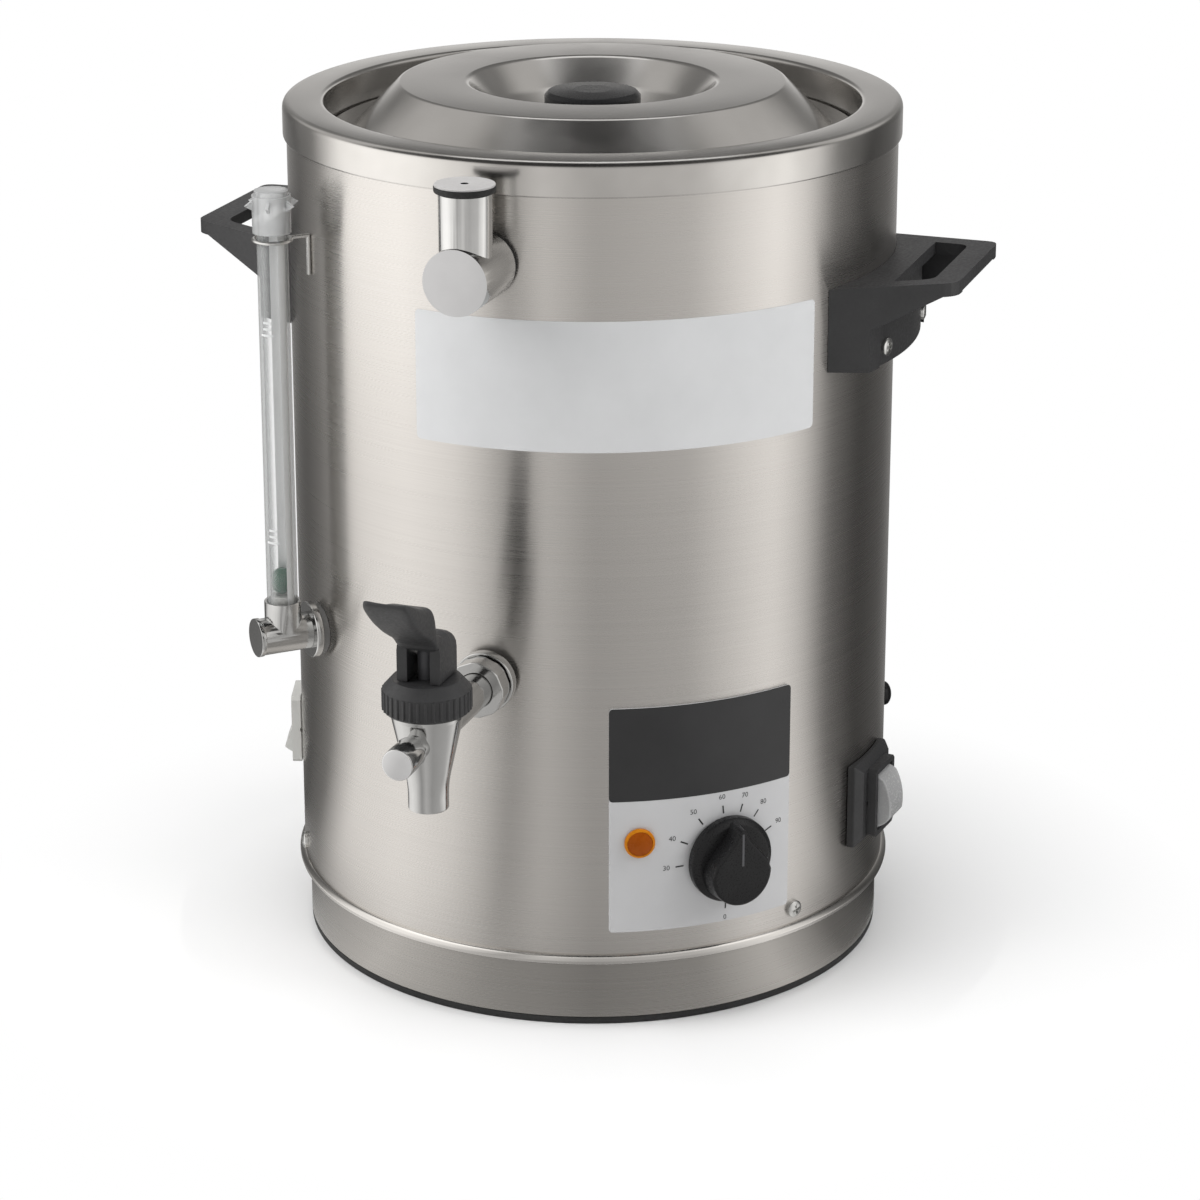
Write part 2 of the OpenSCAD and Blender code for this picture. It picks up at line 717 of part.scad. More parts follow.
module tap_collar() {
    rib_r = 0.7;
    top_r = collar_r - collar_shoulder_h;
    color([0.12, 0.12, 0.12]) in_tap() difference() {
        union() {
            rotate_extrude() polygon([
                [0, collar_z + 1.2], [collar_r - 1.5, collar_z + 1.2], [collar_r - 0.5, collar_z + 2.2],
                [collar_r - 0.5, collar_z + collar_side_h], [top_r, collar_top], [0, collar_top]]);
            for (i = [0:collar_ribs - 1]) rotate([0, 0, 360 / collar_ribs * i])
                translate([collar_r - rib_r, 0, collar_z + 2.4])
                    cylinder(h = collar_side_h - 2.8, r = rib_r, $fn = 24);
        }
        translate([0, 0, collar_z]) cylinder(h = tap_rim_z - collar_z + seat, r = tap_top_r - 1 + seat);
        translate([0, 0, collar_z]) cylinder(h = 1.2 + seat, r = collar_r);
        translate([0, 0, collar_z]) cylinder(h = 2 * collar_side_h, r = stem_r + loose);
    }
}

cup_r = chamber_r - 1.2;
cup_z = chamber_floor + loose;
cup_h = 6;
spring_r = 6.5;
spring_t = 1.2;
spring_z0 = cup_z + cup_h;
spring_z1 = tap_rim_z + seat;

module tap_seat_cup() {
    color([0.85, 0.83, 0.78]) in_tap() difference() {
        translate([0, 0, cup_z]) rotate_extrude() polygon([
            [0, 0], [spout_bore_r + 1, 0], [cup_r, 2], [cup_r, cup_h], [0, cup_h]]);
        translate([0, 0, cup_z + 2]) cylinder(h = cup_h, r = stem_r + seat);
    }
}

module tap_stem() {
    stem_z0 = cup_z + 2;
    color([0.8, 0.8, 0.8]) in_tap() difference() {
        union() {
            translate([0, 0, stem_z0]) cylinder(h = pivot_z - stem_z0, r = stem_r);
            translate([0, 0, pivot_z]) sphere(r = stem_r);
        }
        translate([0, 2 * stem_r, pivot_z]) rotate([90, 0, 0]) cylinder(h = 4 * stem_r, r = pivot_r + seat);
    }
}

module tap_spring() {
    color([0.7, 0.7, 0.7]) in_tap() translate([0, 0, spring_z0]) difference() {
        cylinder(h = spring_z1 - spring_z0, r = spring_r);
        translate([0, 0, -1]) cylinder(h = spring_z1, r = spring_r - spring_t);
    }
}

module tap_pivot_pin() {
    length = fork_w - 1;
    color([0.85, 0.85, 0.85]) in_tap() translate([0, length / 2, pivot_z])
        rotate([90, 0, 0]) cylinder(h = length, r = pivot_r);
}

slot_w = 2 * stem_r + 2.4;

// Side view of the lever, with the pivot at its origin
function lever_outline() = let (foot = -pivot_up + loose, back = -9, front = 8, nose_r = 1.2,
        under = [[0.2, 0.06], [0.27, 0.19], [0.42, 0.33], [0.58, 0.46], [0.75, 0.63], [0.9, 0.82], [1, 0.97]],
        over = [[0.88, 0.97], [0.73, 0.89], [0.58, 0.82], [0.45, 0.775], [0.36, 0.73], [0.32, 0.66],
            [0.3, 0.45], [0.17, 0.35]])
    concat([[front - 2, foot], [front, foot + 2]],
        [for (p = under) [p[0] * lever_reach, p[1] * lever_tip_up]],
        arc([lever_reach - nose_r, lever_tip_up], nose_r, 0, 110, 4),
        [for (p = over) [p[0] * lever_reach, p[1] * lever_tip_up]],
        arc([0, -1], -back, 95, 180), [[back, foot + 2], [back + 2, foot]]);

module tap_lever() {
    paddle_x = 12;
    color([0.12, 0.12, 0.12]) in_tap() translate([0, 0, pivot_z]) difference() {
        intersection() {
            translate([0, paddle_w / 2, 0]) rotate([90, 0, 0])
                linear_extrude(height = paddle_w) polygon(lever_outline());
            union() {
                translate([-2 * paddle_x, -fork_w / 2, -2 * pivot_up]) cube([3.2 * paddle_x, fork_w, 6 * pivot_up]);
                linear_extrude(height = 2 * lever_tip_up) intersection() {
                    translate([0, -paddle_w / 2]) square([lever_reach + 2, paddle_w]);
                    translate([lever_reach + 1 - 1.1 * paddle_w, 0]) circle(1.1 * paddle_w, $fn = 128);
                }
            }
        }
        translate([-2 * paddle_x, -slot_w / 2, -2 * pivot_up])
            cube([4 * paddle_x, slot_w, 2 * pivot_up + stem_r + 2]);
        translate([0, fork_w, 0]) rotate([90, 0, 0]) cylinder(h = 2 * fork_w, r = pivot_r + run);
    }
}

module tap_plug() {
    head_x = plug_boss_x + seat;
    color([0.88, 0.88, 0.88]) in_tap() translate([0, 0, tap_z]) {
        bar(plug_boss_x - 6, head_x + eps, plug_r - 3 - seat);
        bar(head_x, plug_reach, plug_r);
    }
}

// Level gauge

gauge_reach = shell_r + gauge_off;
gauge_pipe_r = 5;
gauge_gasket_t = 2.5;
gauge_nut_t = 3;
gauge_nut_r = elbow_r + 4;
gauge_bore_r = 3.2;
glass_bore_r = glass_r - glass_wall;
socket_r = glass_r + 1.2;
socket_floor = gauge_z + 6;
seal_t = 3;
glass_z = socket_floor + seal_t;
socket_top = gauge_z + elbow_r + 7;
seal_top = socket_top + 2.5;
glass_top = glass_z + glass_len;
float_r = glass_bore_r - 0.6;
float_z = seal_top + loose;
clip_z = glass_top - 6;
clip_r = glass_r + clip_wire_r + loose;

module in_gauge() {
    facing(gauge_angle) translate([gauge_reach, 0, 0]) children();
}

module gauge_elbow() {
    disc_t = 2;
    end_x = gauge_reach + elbow_r + 2.5;
    color([0.8, 0.8, 0.8]) difference() {
        union() {
            facing(gauge_angle) translate([0, 0, gauge_z]) {
                bar(shell_r + gauge_gasket_t + gauge_nut_t, end_x, elbow_r);
                bar(end_x - eps, end_x + disc_t, elbow_r + 0.4);
                bar(shell_in - 6, shell_r + gauge_gasket_t + gauge_nut_t + 1, gauge_pipe_r);
            }
            in_gauge() translate([0, 0, gauge_z]) cylinder(h = socket_top - gauge_z, r = socket_r);
        }
        in_gauge() translate([0, 0, socket_floor]) cylinder(h = socket_top, r = glass_r + seat);
        in_gauge() translate([0, 0, gauge_z]) cylinder(h = socket_top, r = gauge_bore_r);
        facing(gauge_angle) translate([0, 0, gauge_z]) bar(shell_in - 7, gauge_reach, gauge_bore_r);
    }
}

module gauge_gasket() {
    color([0.1, 0.1, 0.1]) facing(gauge_angle)
        saddle_ring(gauge_gasket_t, gauge_nut_r - 1, gauge_pipe_r + seat, gauge_z);
}

module gauge_nut() {
    color([0.78, 0.78, 0.78]) facing(gauge_angle) translate([0, 0, gauge_z])
        collar_ring(shell_r + gauge_gasket_t, shell_r + gauge_gasket_t + gauge_nut_t,
            gauge_nut_r, gauge_pipe_r + seat);
}

module gauge_seal() {
    color([0.85, 0.85, 0.82]) in_gauge() difference() {
        union() {
            translate([0, 0, socket_floor]) cylinder(h = seal_t, r = glass_r);
            translate([0, 0, socket_floor]) cylinder(h = seal_top - socket_floor, r = glass_bore_r - seat);
        }
        translate([0, 0, gauge_z]) cylinder(h = 3 * elbow_r + glass_r, r = glass_bore_r - 2);
    }
}

module gauge_glass() {
    color([0.85, 0.92, 0.92, 0.5]) in_gauge() translate([0, 0, glass_z]) difference() {
        cylinder(h = glass_len, r = glass_r);
        translate([0, 0, -1]) cylinder(h = glass_len + 2, r = glass_bore_r);
    }
}

module gauge_float() {
    color([0.15, 0.45, 0.35]) in_gauge() translate([0, 0, float_z]) {
        translate([0, 0, float_r]) cylinder(h = float_len - 2 * float_r, r = float_r);
        translate([0, 0, float_r]) sphere(r = float_r);
        translate([0, 0, float_len - float_r]) sphere(r = float_r);
    }
}

cap_skirt = 3;

module gauge_cap() {
    fins = 6;
    fin_reach = 3.5;
    fin_h = 6;
    wall = 1.1;
    cap_r = glass_r + loose + wall;
    color([0.9, 0.93, 0.93, 0.6]) in_gauge() difference() {
        union() {
            translate([0, 0, glass_top - cap_skirt]) cylinder(h = cap_skirt + gauge_cap_h - 2, r = cap_r);
            translate([0, 0, glass_top + gauge_cap_h - 2]) cylinder(h = 2, r = cap_r - 1);
            for (i = [0:fins - 1]) rotate([0, 0, 360 / fins * i])
                translate([0, wall / 2, glass_top + gauge_cap_h - fin_h - 2.5]) rotate([90, 0, 0])
                    linear_extrude(height = wall)
                        polygon([[cap_r - wall, 0], [cap_r + fin_reach, fin_h / 2], [cap_r - wall, fin_h]]);
        }
        translate([0, 0, glass_top - cap_skirt - 1])
            cylinder(h = cap_skirt + 1 + loose, r = glass_r + loose);
        translate([0, 0, glass_top - 1]) cylinder(h = gauge_cap_h - 1.5, r = glass_bore_r);
    }
}

module gauge_clip() {
    knee_x = shell_r + clip_wire_r + seat - gauge_reach;
    color([0.7, 0.7, 0.7]) in_gauge() translate([0, 0, clip_z]) {
        rotate_extrude() translate([clip_r, 0]) circle(clip_wire_r, $fn = 24);
        bar(knee_x, -clip_r, clip_wire_r);
        translate([knee_x, 0, 0]) sphere(clip_wire_r);
        translate([knee_x, 0, -clip_foot]) cylinder(h = clip_foot, r = clip_wire_r);
    }
}

// Filler

filler_reach = shell_r + filler_off;
filler_pipe_r = 9.5;
filler_gasket_t = 2;
filler_nut_t = 4;
filler_mouth_r = filler_tube_r - filler_wall;
seal_ring_t = 1.3;
filler_cap_t = 2;

module filler_elbow() {
    end_x = filler_reach + filler_tube_r + 1.4;
    pipe_x = shell_in - filler_nut_t - 4;
    color([0.82, 0.82, 0.82]) difference() {
        facing(0) union() {
            translate([0, 0, filler_z]) bar(shell_r + filler_gasket_t, end_x, filler_barrel_r);
            translate([0, 0, filler_z]) bar(pipe_x, shell_r + filler_gasket_t + 1, filler_pipe_r);
            translate([filler_reach, 0, filler_z]) cylinder(h = filler_rise, r = filler_tube_r);
        }
        facing(0) translate([filler_reach, 0, filler_z]) cylinder(h = filler_rise + 1, r = filler_mouth_r);
        facing(0) translate([0, 0, filler_z])
            bar(pipe_x - 1, filler_reach, filler_pipe_r - filler_wall);
    }
}

module filler_gasket() {
    color([0.1, 0.1, 0.1]) facing(0)
        saddle_ring(filler_gasket_t, filler_barrel_r - 0.5, filler_pipe_r + seat, filler_z);
}

module filler_nut() {
    x1 = sqrt(shell_in * shell_in - filler_barrel_r * filler_barrel_r) - seat;
    color([0.75, 0.75, 0.75]) facing(0) translate([0, 0, filler_z])
        collar_ring(x1 - filler_nut_t, x1, filler_barrel_r, filler_pipe_r + seat);
}

module filler_seal() {
    color([0.08, 0.08, 0.08]) facing(0) translate([filler_reach, 0, filler_top + loose]) difference() {
        cylinder(h = seal_ring_t, r = filler_cap_r - 0.2);
        translate([0, 0, -1]) cylinder(h = seal_ring_t + 2, r = filler_mouth_r - loose + seat);
    }
}

module filler_cap() {
    vent_r = 1.5;
    plug_h = 8;
    edge = 0.5;
    z0 = filler_top + loose + seal_ring_t;
    color([0.8, 0.8, 0.8]) facing(0) translate([filler_reach, 0, z0]) difference() {
        rotate_extrude() polygon([[0, -plug_h], [filler_mouth_r - loose, -plug_h], [filler_mouth_r - loose, 0],
            [filler_cap_r, 0], [filler_cap_r, filler_cap_t - edge], [filler_cap_r - edge, filler_cap_t],
            [0, filler_cap_t]]);
        translate([0, 0, -plug_h - 1]) cylinder(h = plug_h + filler_cap_t + 2, r = vent_r);
    }
}

// Controls

knob_z = panel_z + knob_up;
lamp_z = panel_z + lamp_up;
bush_r = 5;
lamp_body_r = lamp_r - 1.2;
panel_face = shell_r + seat + panel_t;

module control_panel() {
    color([0.78, 0.78, 0.78]) difference() {
        facing(panel_angle) translate([0, 0, panel_z]) curved_plate(panel_w, panel_h, panel_t);
        shell_hole(panel_angle + knob_angle, knob_z, bush_r + seat, panel_w);
        shell_hole(panel_angle + lamp_angle, lamp_z, lamp_body_r + seat, panel_w);
        for (a = base_screw_angles) shell_hole(a, base_screw_z, screw_head_r + 1, panel_w);
    }
}

thermostat_w = 34;
thermostat_t = 26;
thermostat_x = shell_in - 4;
shaft_x0 = thermostat_x - 8;
knob_x = panel_face + 0.6;

module in_thermostat() {
    facing(panel_angle + knob_angle) translate([0, 0, knob_z]) children();
}

module thermostat() {
    color([0.3, 0.3, 0.32]) in_thermostat() difference() {
        union() {
            translate([thermostat_x - thermostat_t, -thermostat_w / 2, -thermostat_w / 2])
                cube([thermostat_t, thermostat_w, thermostat_w]);
            bar(thermostat_x - 1, panel_face, bush_r);
        }
        bar(shaft_x0 - loose, panel_face + 1, knob_shaft_r + run);
    }
}

module thermostat_shaft() {
    color([0.75, 0.75, 0.75]) in_thermostat() bar(shaft_x0, knob_x + knob_h - 4, knob_shaft_r);
}

module thermostat_knob() {
    skirt_h = 5;
    slope = 2.5;
    ridge_low = knob_r * 0.62;
    ridge_tip = 2.6;
    color([0.08, 0.08, 0.08]) in_thermostat() difference() {
        translate([knob_x, 0, 0]) {
            rotate([0, 90, 0]) rotate_extrude() polygon([[0, 0], [knob_r, 0], [knob_r, skirt_h - 2],
                [knob_r - 1.2, skirt_h - 0.6], [knob_r - slope, skirt_h], [0, skirt_h + 0.6]]);
            intersection() {
                rotate([0, 90, 0]) rotate_extrude() polygon([[0, 0], [knob_r - 0.4, 0],
                    [knob_r - slope, knob_h - 1.5], [knob_r - slope - 1.5, knob_h], [0, knob_h]]);
                rotate([90, 0, 90]) linear_extrude(height = knob_h) polygon(concat(
                    [[-ridge_tip, knob_r], [-ridge_low, -knob_r * 0.45]],
                    arc([0, -knob_r * 0.45], ridge_low, 180, 360),
                    [[ridge_tip, knob_r]]));
            }
        }
        bar(knob_x - 1, knob_x + knob_h - 4 + loose, knob_shaft_r + seat);
        bar(knob_x - 1, knob_x + 1.5, bush_r + 1.5);
    }
}

// Bulb under the jacket's floor, with its thin tube to the thermostat's back
bulb_r = 3;
bulb_len = 60;
tube_r = 0.8;

module tube_run(a, b, r) {
    d = b - a;
    translate(a) rotate([0, acos(d[2] / norm(d)), atan2(d[1], d[0])]) cylinder(h = norm(d), r = r);
    translate(b) sphere(1.2 * r);
}

module thermostat_bulb() {
    z = jacket_z - sheet - bulb_r - seat;
    x0 = thermostat_x - thermostat_t;
    route = [[x0, 0, 0], [x0 - 8, 0, 0], [x0 - 12, 0, z - knob_z], [x0 - 16, 12, z - knob_z]];
    color([0.72, 0.45, 0.3]) in_thermostat() {
        for (i = [0:len(route) - 2]) tube_run(route[i], route[i + 1], tube_r);
        translate(route[3]) rotate([-90, 0, 0]) cylinder(h = bulb_len, r = bulb_r);
    }
}

module in_lamp() {
    facing(panel_angle + lamp_angle) translate([0, 0, lamp_z]) children();
}

module lamp_lens() {
    lip = 1;
    dome = 2.2;
    color([0.85, 0.45, 0.05]) in_lamp() translate([panel_face + seat, 0, 0]) rotate([0, 90, 0])
        rotate_extrude() polygon(concat([[0, 0], [lamp_r, 0], [lamp_r, lip]],
            [for (i = [1:8]) [lamp_r * cos(i * 90 / 8), lip + dome * sin(i * 90 / 8)]]));
}

module lamp_holder() {
    holder_len = 24;
    color([0.2, 0.2, 0.2]) in_lamp() bar(panel_face - holder_len, panel_face, lamp_body_r);
}

// Rocker switches. Each housing has a bezel outside and a body that snaps into the shell.

switch_z = shell_z0 + switch_up;
mixer_switch_z = shell_z0 + mixer_switch_up;
switch_body_w = bezel_w - 3;
switch_body_h = bezel_h - 3;
switch_depth = 22;
pocket_depth = 13;
rocker_back = 3;
rocker_face = 5.2;

module in_switch(angle, z, x) {
    facing(angle) translate([x, 0, z]) children();
}

// Housing with its bezel's back at local x = 0
module rocker_housing(back) {
    difference() {
        union() {
            translate([-back - switch_depth, -switch_body_w / 2, -switch_body_h / 2])
                cube([back + switch_depth + 1, switch_body_w, switch_body_h]);
            rotate([90, 0, 90]) linear_extrude(height = bezel_t) bezel_outline();
        }
        translate([bezel_t - pocket_depth, -rocker_w / 2 - loose, -rocker_r - loose])
            cube([pocket_depth + 1, rocker_w + 2 * loose, 2 * (rocker_r + loose)]);
        translate([bezel_t - rocker_face, rocker_w, 0]) rotate([90, 0, 0])
            cylinder(h = 2 * rocker_w, r = trunnion_r + run);
    }
}

module bezel_outline() {
    c = 1.5;
    w = bezel_w / 2;
    h = bezel_h / 2;
    polygon([[c - w, -h], [w - c, -h], [w, c - h], [w, h - c], [w - c, h], [c - w, h], [-w, h - c], [-w, c - h]]);
}

trunnion_r = 1.6;
trunnion_len = 1;

// Rocker with its pivot at the origin, tilted so that its lower end stands out
module rocker_blank() {
    w = rocker_w / 2;
    rise = rocker_r * tan(rocker_tilt);
    rotate([0, -rocker_tilt, 0]) intersection() {
        translate([0, w, 0]) rotate([90, 0, 0]) cylinder(h = rocker_w, r = rocker_r);
        translate([0, w, 0]) rotate([90, 0, 0]) linear_extrude(height = rocker_w) polygon([
            [-rocker_back, -rocker_r], [rocker_face + rise, -rocker_r], [rocker_face, 0],
            [rocker_face + rise, rocker_r], [-rocker_back, rocker_r]]);
    }
    translate([0, w + trunnion_len, 0]) rotate([90, 0, 0])
        cylinder(h = rocker_w + 2 * trunnion_len, r = trunnion_r);
}

main_bezel_x = shell_r + frame_t;
mixer_bezel_x = shell_r + seat;

module switch_frame() {
    chamfer = 3;
    half = frame_w / 2;
    color([0.1, 0.1, 0.1]) difference() {
        in_switch(switch_angle, switch_z, shell_in - 2) intersection() {
            rotate([90, 0, 90]) linear_extrude(height = frame_t + 3) square(frame_w, center = true);
            translate([0, half, 0]) rotate([90, 0, 0]) linear_extrude(height = frame_w)
                polygon([[0, -half], [frame_t + 3 - chamfer, -half], [frame_t + 3, chamfer - half],
                    [frame_t + 3, half - chamfer], [frame_t + 3 - chamfer, half], [0, half]]);
            translate([0, 0, -half]) linear_extrude(height = frame_w)
                polygon([[0, -half], [frame_t + 3 - chamfer, -half], [frame_t + 3, chamfer - half],
                    [frame_t + 3, half - chamfer], [frame_t + 3 - chamfer, half], [0, half]]);
        }
        cylinder(h = shell_z1, r = shell_r + seat, $fn = 192);
        in_switch(switch_angle, switch_z, shell_r) cube([4 * frame_t, switch_body_w + 2 * seat,
            switch_body_h + 2 * seat], center = true);
    }
}

module switch_housing() {
    color([0.08, 0.08, 0.08]) in_switch(switch_angle, switch_z, main_bezel_x) rocker_housing(frame_t);
}

module main_rocker() {
    color([0.6, 0.6, 0.6]) in_switch(switch_angle, switch_z, main_bezel_x + bezel_t - rocker_face)
        rocker_blank();
}

module mixer_switch_housing() {
    color([0.7, 0.7, 0.68]) in_switch(mixer_switch_angle, mixer_switch_z, mixer_bezel_x) rocker_housing(0);
}

module mixer_rocker() {
    color([0.75, 0.75, 0.73]) in_switch(mixer_switch_angle, mixer_switch_z,
        mixer_bezel_x + bezel_t - rocker_face) rocker_blank();
}

// Overheat cut-out with its reset button

reset_z = shell_z0 + reset_up;
guide_r = reset_r + loose + 1.2;
guide_x = shell_r + 0.6;
cutout_depth = 20;
reset_pin_r = 2;
button_seat_x = guide_x - reset_travel - 3;

module in_reset() {
    facing(reset_angle) translate([0, 0, reset_z]) children();
}

module overheat_cutout() {
    color([0.25, 0.25, 0.27]) in_reset() difference() {
        union() {
            bar(shell_in - cutout_depth, shell_in - 6, guide_r + 4);
            bar(shell_in - 7, guide_x, guide_r);
        }
        bar(button_seat_x, guide_x + 1, reset_r + loose);
        bar(shell_in - cutout_depth + 2, guide_x + 1, reset_pin_r + run);
    }
}

module reset_button() {
    back_x = button_seat_x + reset_travel + loose;
    pin_len = 6;
    dome_h = 3;
    length = guide_x + reset_proud - back_x;
    color([0.06, 0.06, 0.06]) in_reset() {
        translate([back_x, 0, 0]) rotate([0, 90, 0]) rotate_extrude() polygon(concat([[0, 0], [reset_r, 0]],
            [for (i = [0:8]) [reset_r * cos(i * 90 / 8), length - dome_h + dome_h * sin(i * 90 / 8)]]));
        bar(back_x - pin_len, back_x + eps, reset_pin_r);
    }
}

// Cable gland

gland_z = shell_z0 + gland_up;
gland_thread_r = gland_bore_r + 2.4;

module cable_gland() {
    flange_r = gland_thread_r + 3.2;
    color([0.1, 0.1, 0.1]) facing(180) difference() {
        translate([0, 0, gland_z]) union() {
            bar(shell_in - 9, shell_r + 8, gland_thread_r);
            bar(shell_in - 7, shell_in - 2.5, flange_r);
            bar(shell_r + seat, shell_r + 4, flange_r);
            translate([shell_r + 4 - eps, 0, 0]) rotate([0, 90, 0]) rotate_extrude()
                polygon([[0, 0], [flange_r - 0.6, 0], [flange_r - 0.6, 5], [gland_bore_r + 1.6, 11], [0, 11]]);
        }
        translate([0, 0, gland_z]) bar(shell_in - 12, shell_r + 20, gland_bore_r);
    }
}

// Mixer

stirrer_z = vat_z + loose;

module stirrer() {
    blades = 4;
    blade_t = 3;
    hub_r = 9;
    disc_h = 3;
    color([0.9, 0.9, 0.88]) translate([0, 0, stirrer_z]) difference() {
        union() {
            cylinder(h = disc_h, r = stirrer_r);
            cylinder(h = stirrer_h, r = hub_r);
            for (i = [0:blades - 1]) rotate([0, 0, 360 / blades * i])
                translate([0, -blade_t / 2, 0]) cube([stirrer_r - 1, blade_t, stirrer_h]);
        }
        translate([0, 0, -1]) cylinder(h = stirrer_h + 2, r = post_r + run);
    }
}

module insert_disc() {
    rings = [38, 58, 78];
    leg_r = 3;
    legs = 3;
    rim_r_in = vat_r - 3;
    color([0.78, 0.78, 0.78]) translate([0, 0, vat_z]) {
        difference() {
            translate([0, 0, insert_up]) cylinder(h = sheet, r = rim_r_in, $fn = 192);
            for (i = [0:len(rings) - 1]) for (k = [0:8 * (i + 1) - 1])
                rotate([0, 0, 360 / (8 * (i + 1)) * k]) translate([rings[i], 0, insert_up - 1])
                    cylinder(h = sheet + 2, r = insert_hole_r, $fn = 32);
        }
        for (i = [0:legs - 1]) rotate([0, 0, 360 / legs * i + 90]) translate([rim_r_in - 9, 0, 0])
            cylinder(h = insert_up + eps, r = leg_r);
    }
}

bracket_t = 2;
bracket_z = jacket_z - sheet - bracket_t;
motor_z = bracket_z - motor_len;
magnet_z = well_top - sheet - magnet_h - 2;

module motor_bracket() {
    bracket_r = motor_r + 14;
    color([0.6, 0.6, 0.6]) translate([0, 0, bracket_z]) difference() {
        cylinder(h = bracket_t, r = bracket_r);
        translate([0, 0, -1]) cylinder(h = bracket_t + 2, r = motor_shaft_r + 4);
    }
}

module mixer_motor() {
    bearing_h = 8;
    color([0.35, 0.35, 0.37]) difference() {
        union() {
            translate([0, 0, motor_z]) cylinder(h = motor_len, r = motor_r);
            translate([0, 0, bracket_z - eps]) cylinder(h = bearing_h, r = motor_shaft_r + 3);
        }
        translate([0, 0, bracket_z - motor_len / 2]) cylinder(h = motor_len, r = motor_shaft_r + run);
    }
}

module motor_shaft() {
    z0 = bracket_z - motor_len / 2 + loose;
    color([0.75, 0.75, 0.75]) translate([0, 0, z0]) cylinder(h = magnet_z + magnet_h - z0, r = motor_shaft_r);
}

module drive_magnet() {
    color([0.25, 0.25, 0.25]) translate([0, 0, magnet_z]) difference() {
        cylinder(h = magnet_h, r = magnet_r);
        translate([0, 0, -1]) cylinder(h = magnet_h + 2, r = motor_shaft_r + seat);
        for (a = [0, 180]) rotate([0, 0, a]) translate([magnet_r * 0.62, 0, magnet_h - 2])
            cylinder(h = magnet_h, r = magnet_r * 0.22);
    }
}

outer_shell();
top_rim();
vat();
jacket_floor();
base_ring();
base_plate();
foot_ring();
lid_shell();
lid_knob();
lid_screw();
left_handle();
right_handle();
case_screws();
tap_outlet();
tap_gasket();
tap_locknut();
tap_union_nut();
tap_body();
tap_collar();
tap_seat_cup();
tap_stem();
tap_spring();
tap_pivot_pin();
tap_lever();
tap_plug();
gauge_elbow();
gauge_gasket();
gauge_nut();
gauge_seal();
gauge_glass();
gauge_float();
gauge_cap();
gauge_clip();
filler_elbow();
filler_gasket();
filler_nut();
filler_seal();
filler_cap();
control_panel();
thermostat();
thermostat_shaft();
thermostat_knob();
thermostat_bulb();
lamp_lens();
lamp_holder();
switch_frame();
switch_housing();
main_rocker();
mixer_switch_housing();
mixer_rocker();
overheat_cutout();
reset_button();
cable_gland();
heating_element();
stirrer();
insert_disc();
mixer_motor();
motor_bracket();
motor_shaft();
drive_magnet();
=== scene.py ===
"""Looks of a countertop hot chocolate dispenser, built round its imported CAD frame.

Metres, +Z up, the tap points to -Y, and the origin lies on the body's axis at table height.
Angles round the body run in degrees from the tap towards +X. Outlines are written in millimetres.
"""

import json
import math

import bmesh
import bpy
from mathutils import Matrix, Vector


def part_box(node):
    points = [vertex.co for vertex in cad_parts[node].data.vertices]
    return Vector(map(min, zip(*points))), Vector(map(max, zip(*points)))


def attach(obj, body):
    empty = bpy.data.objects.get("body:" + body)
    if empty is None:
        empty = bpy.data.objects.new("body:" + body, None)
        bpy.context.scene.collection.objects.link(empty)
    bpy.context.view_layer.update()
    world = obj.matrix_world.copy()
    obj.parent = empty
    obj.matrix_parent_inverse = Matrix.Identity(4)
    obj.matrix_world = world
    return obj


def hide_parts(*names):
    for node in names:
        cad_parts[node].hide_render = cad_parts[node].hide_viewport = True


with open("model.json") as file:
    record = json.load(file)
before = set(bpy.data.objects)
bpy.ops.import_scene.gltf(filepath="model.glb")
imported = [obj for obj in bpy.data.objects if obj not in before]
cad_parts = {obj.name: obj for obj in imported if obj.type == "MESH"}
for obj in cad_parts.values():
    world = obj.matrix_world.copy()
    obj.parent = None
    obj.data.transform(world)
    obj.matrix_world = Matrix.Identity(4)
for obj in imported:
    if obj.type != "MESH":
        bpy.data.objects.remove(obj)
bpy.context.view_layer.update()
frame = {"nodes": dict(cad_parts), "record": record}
nodes = frame["nodes"]

MM = 0.001
AROUND = 224
ON_AXIS = 1e-6
STRAIGHT = 178.0
CORNER_SHARE = 0.48


def box_mm(node):
    """Lowest and highest corner of a CAD node, in millimetres."""
    low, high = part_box(node)
    return low / MM, high / MM


def radius_of(node):
    """Reach of a round CAD node from the body's axis, in millimetres."""
    return box_mm(node)[1].x


def levels_of(node):
    """Lowest and highest level of a CAD node, in millimetres."""
    low, high = box_mm(node)
    return low.z, high.z


# Driving dimensions in millimetres, read from the frame

SHELL_R = radius_of("outer_shell")
SHELL_Z0, SHELL_TOP = levels_of("outer_shell")
RIM_R = radius_of("top_rim")
RIM_Z0, RIM_TOP = levels_of("top_rim")
BEAD_R = radius_of("base_ring")
BASE_Z0, SPIGOT_TOP = levels_of("base_ring")
FOOT_R = radius_of("foot_ring")
FOOT_TOP = levels_of("foot_ring")[1]
LID_R = radius_of("lid_shell")
LID_Z0, LID_TOP = levels_of("lid_shell")
KNOB_R = radius_of("lid_knob")
KNOB_Z0, KNOB_TOP = levels_of("lid_knob")
SPOUT_Z, CASTING_TOP = levels_of("tap_body")
COLLAR_Z, COLLAR_TOP = levels_of("tap_collar")
TAP_REACH = -sum(corner.y for corner in box_mm("tap_collar")) / 2
SWITCH_Z = sum(levels_of("switch_housing")) / 2
PANEL_Z0, PANEL_TOP = levels_of("control_panel")

SHEET = 1.0
GAUGE_ANGLE = -45.0
PANEL_ANGLE = 40.0
DIAL_ANGLE = 44.5
LAMP_ANGLE = 27.5
SWITCH_ANGLE = 84.5


# Shape helpers

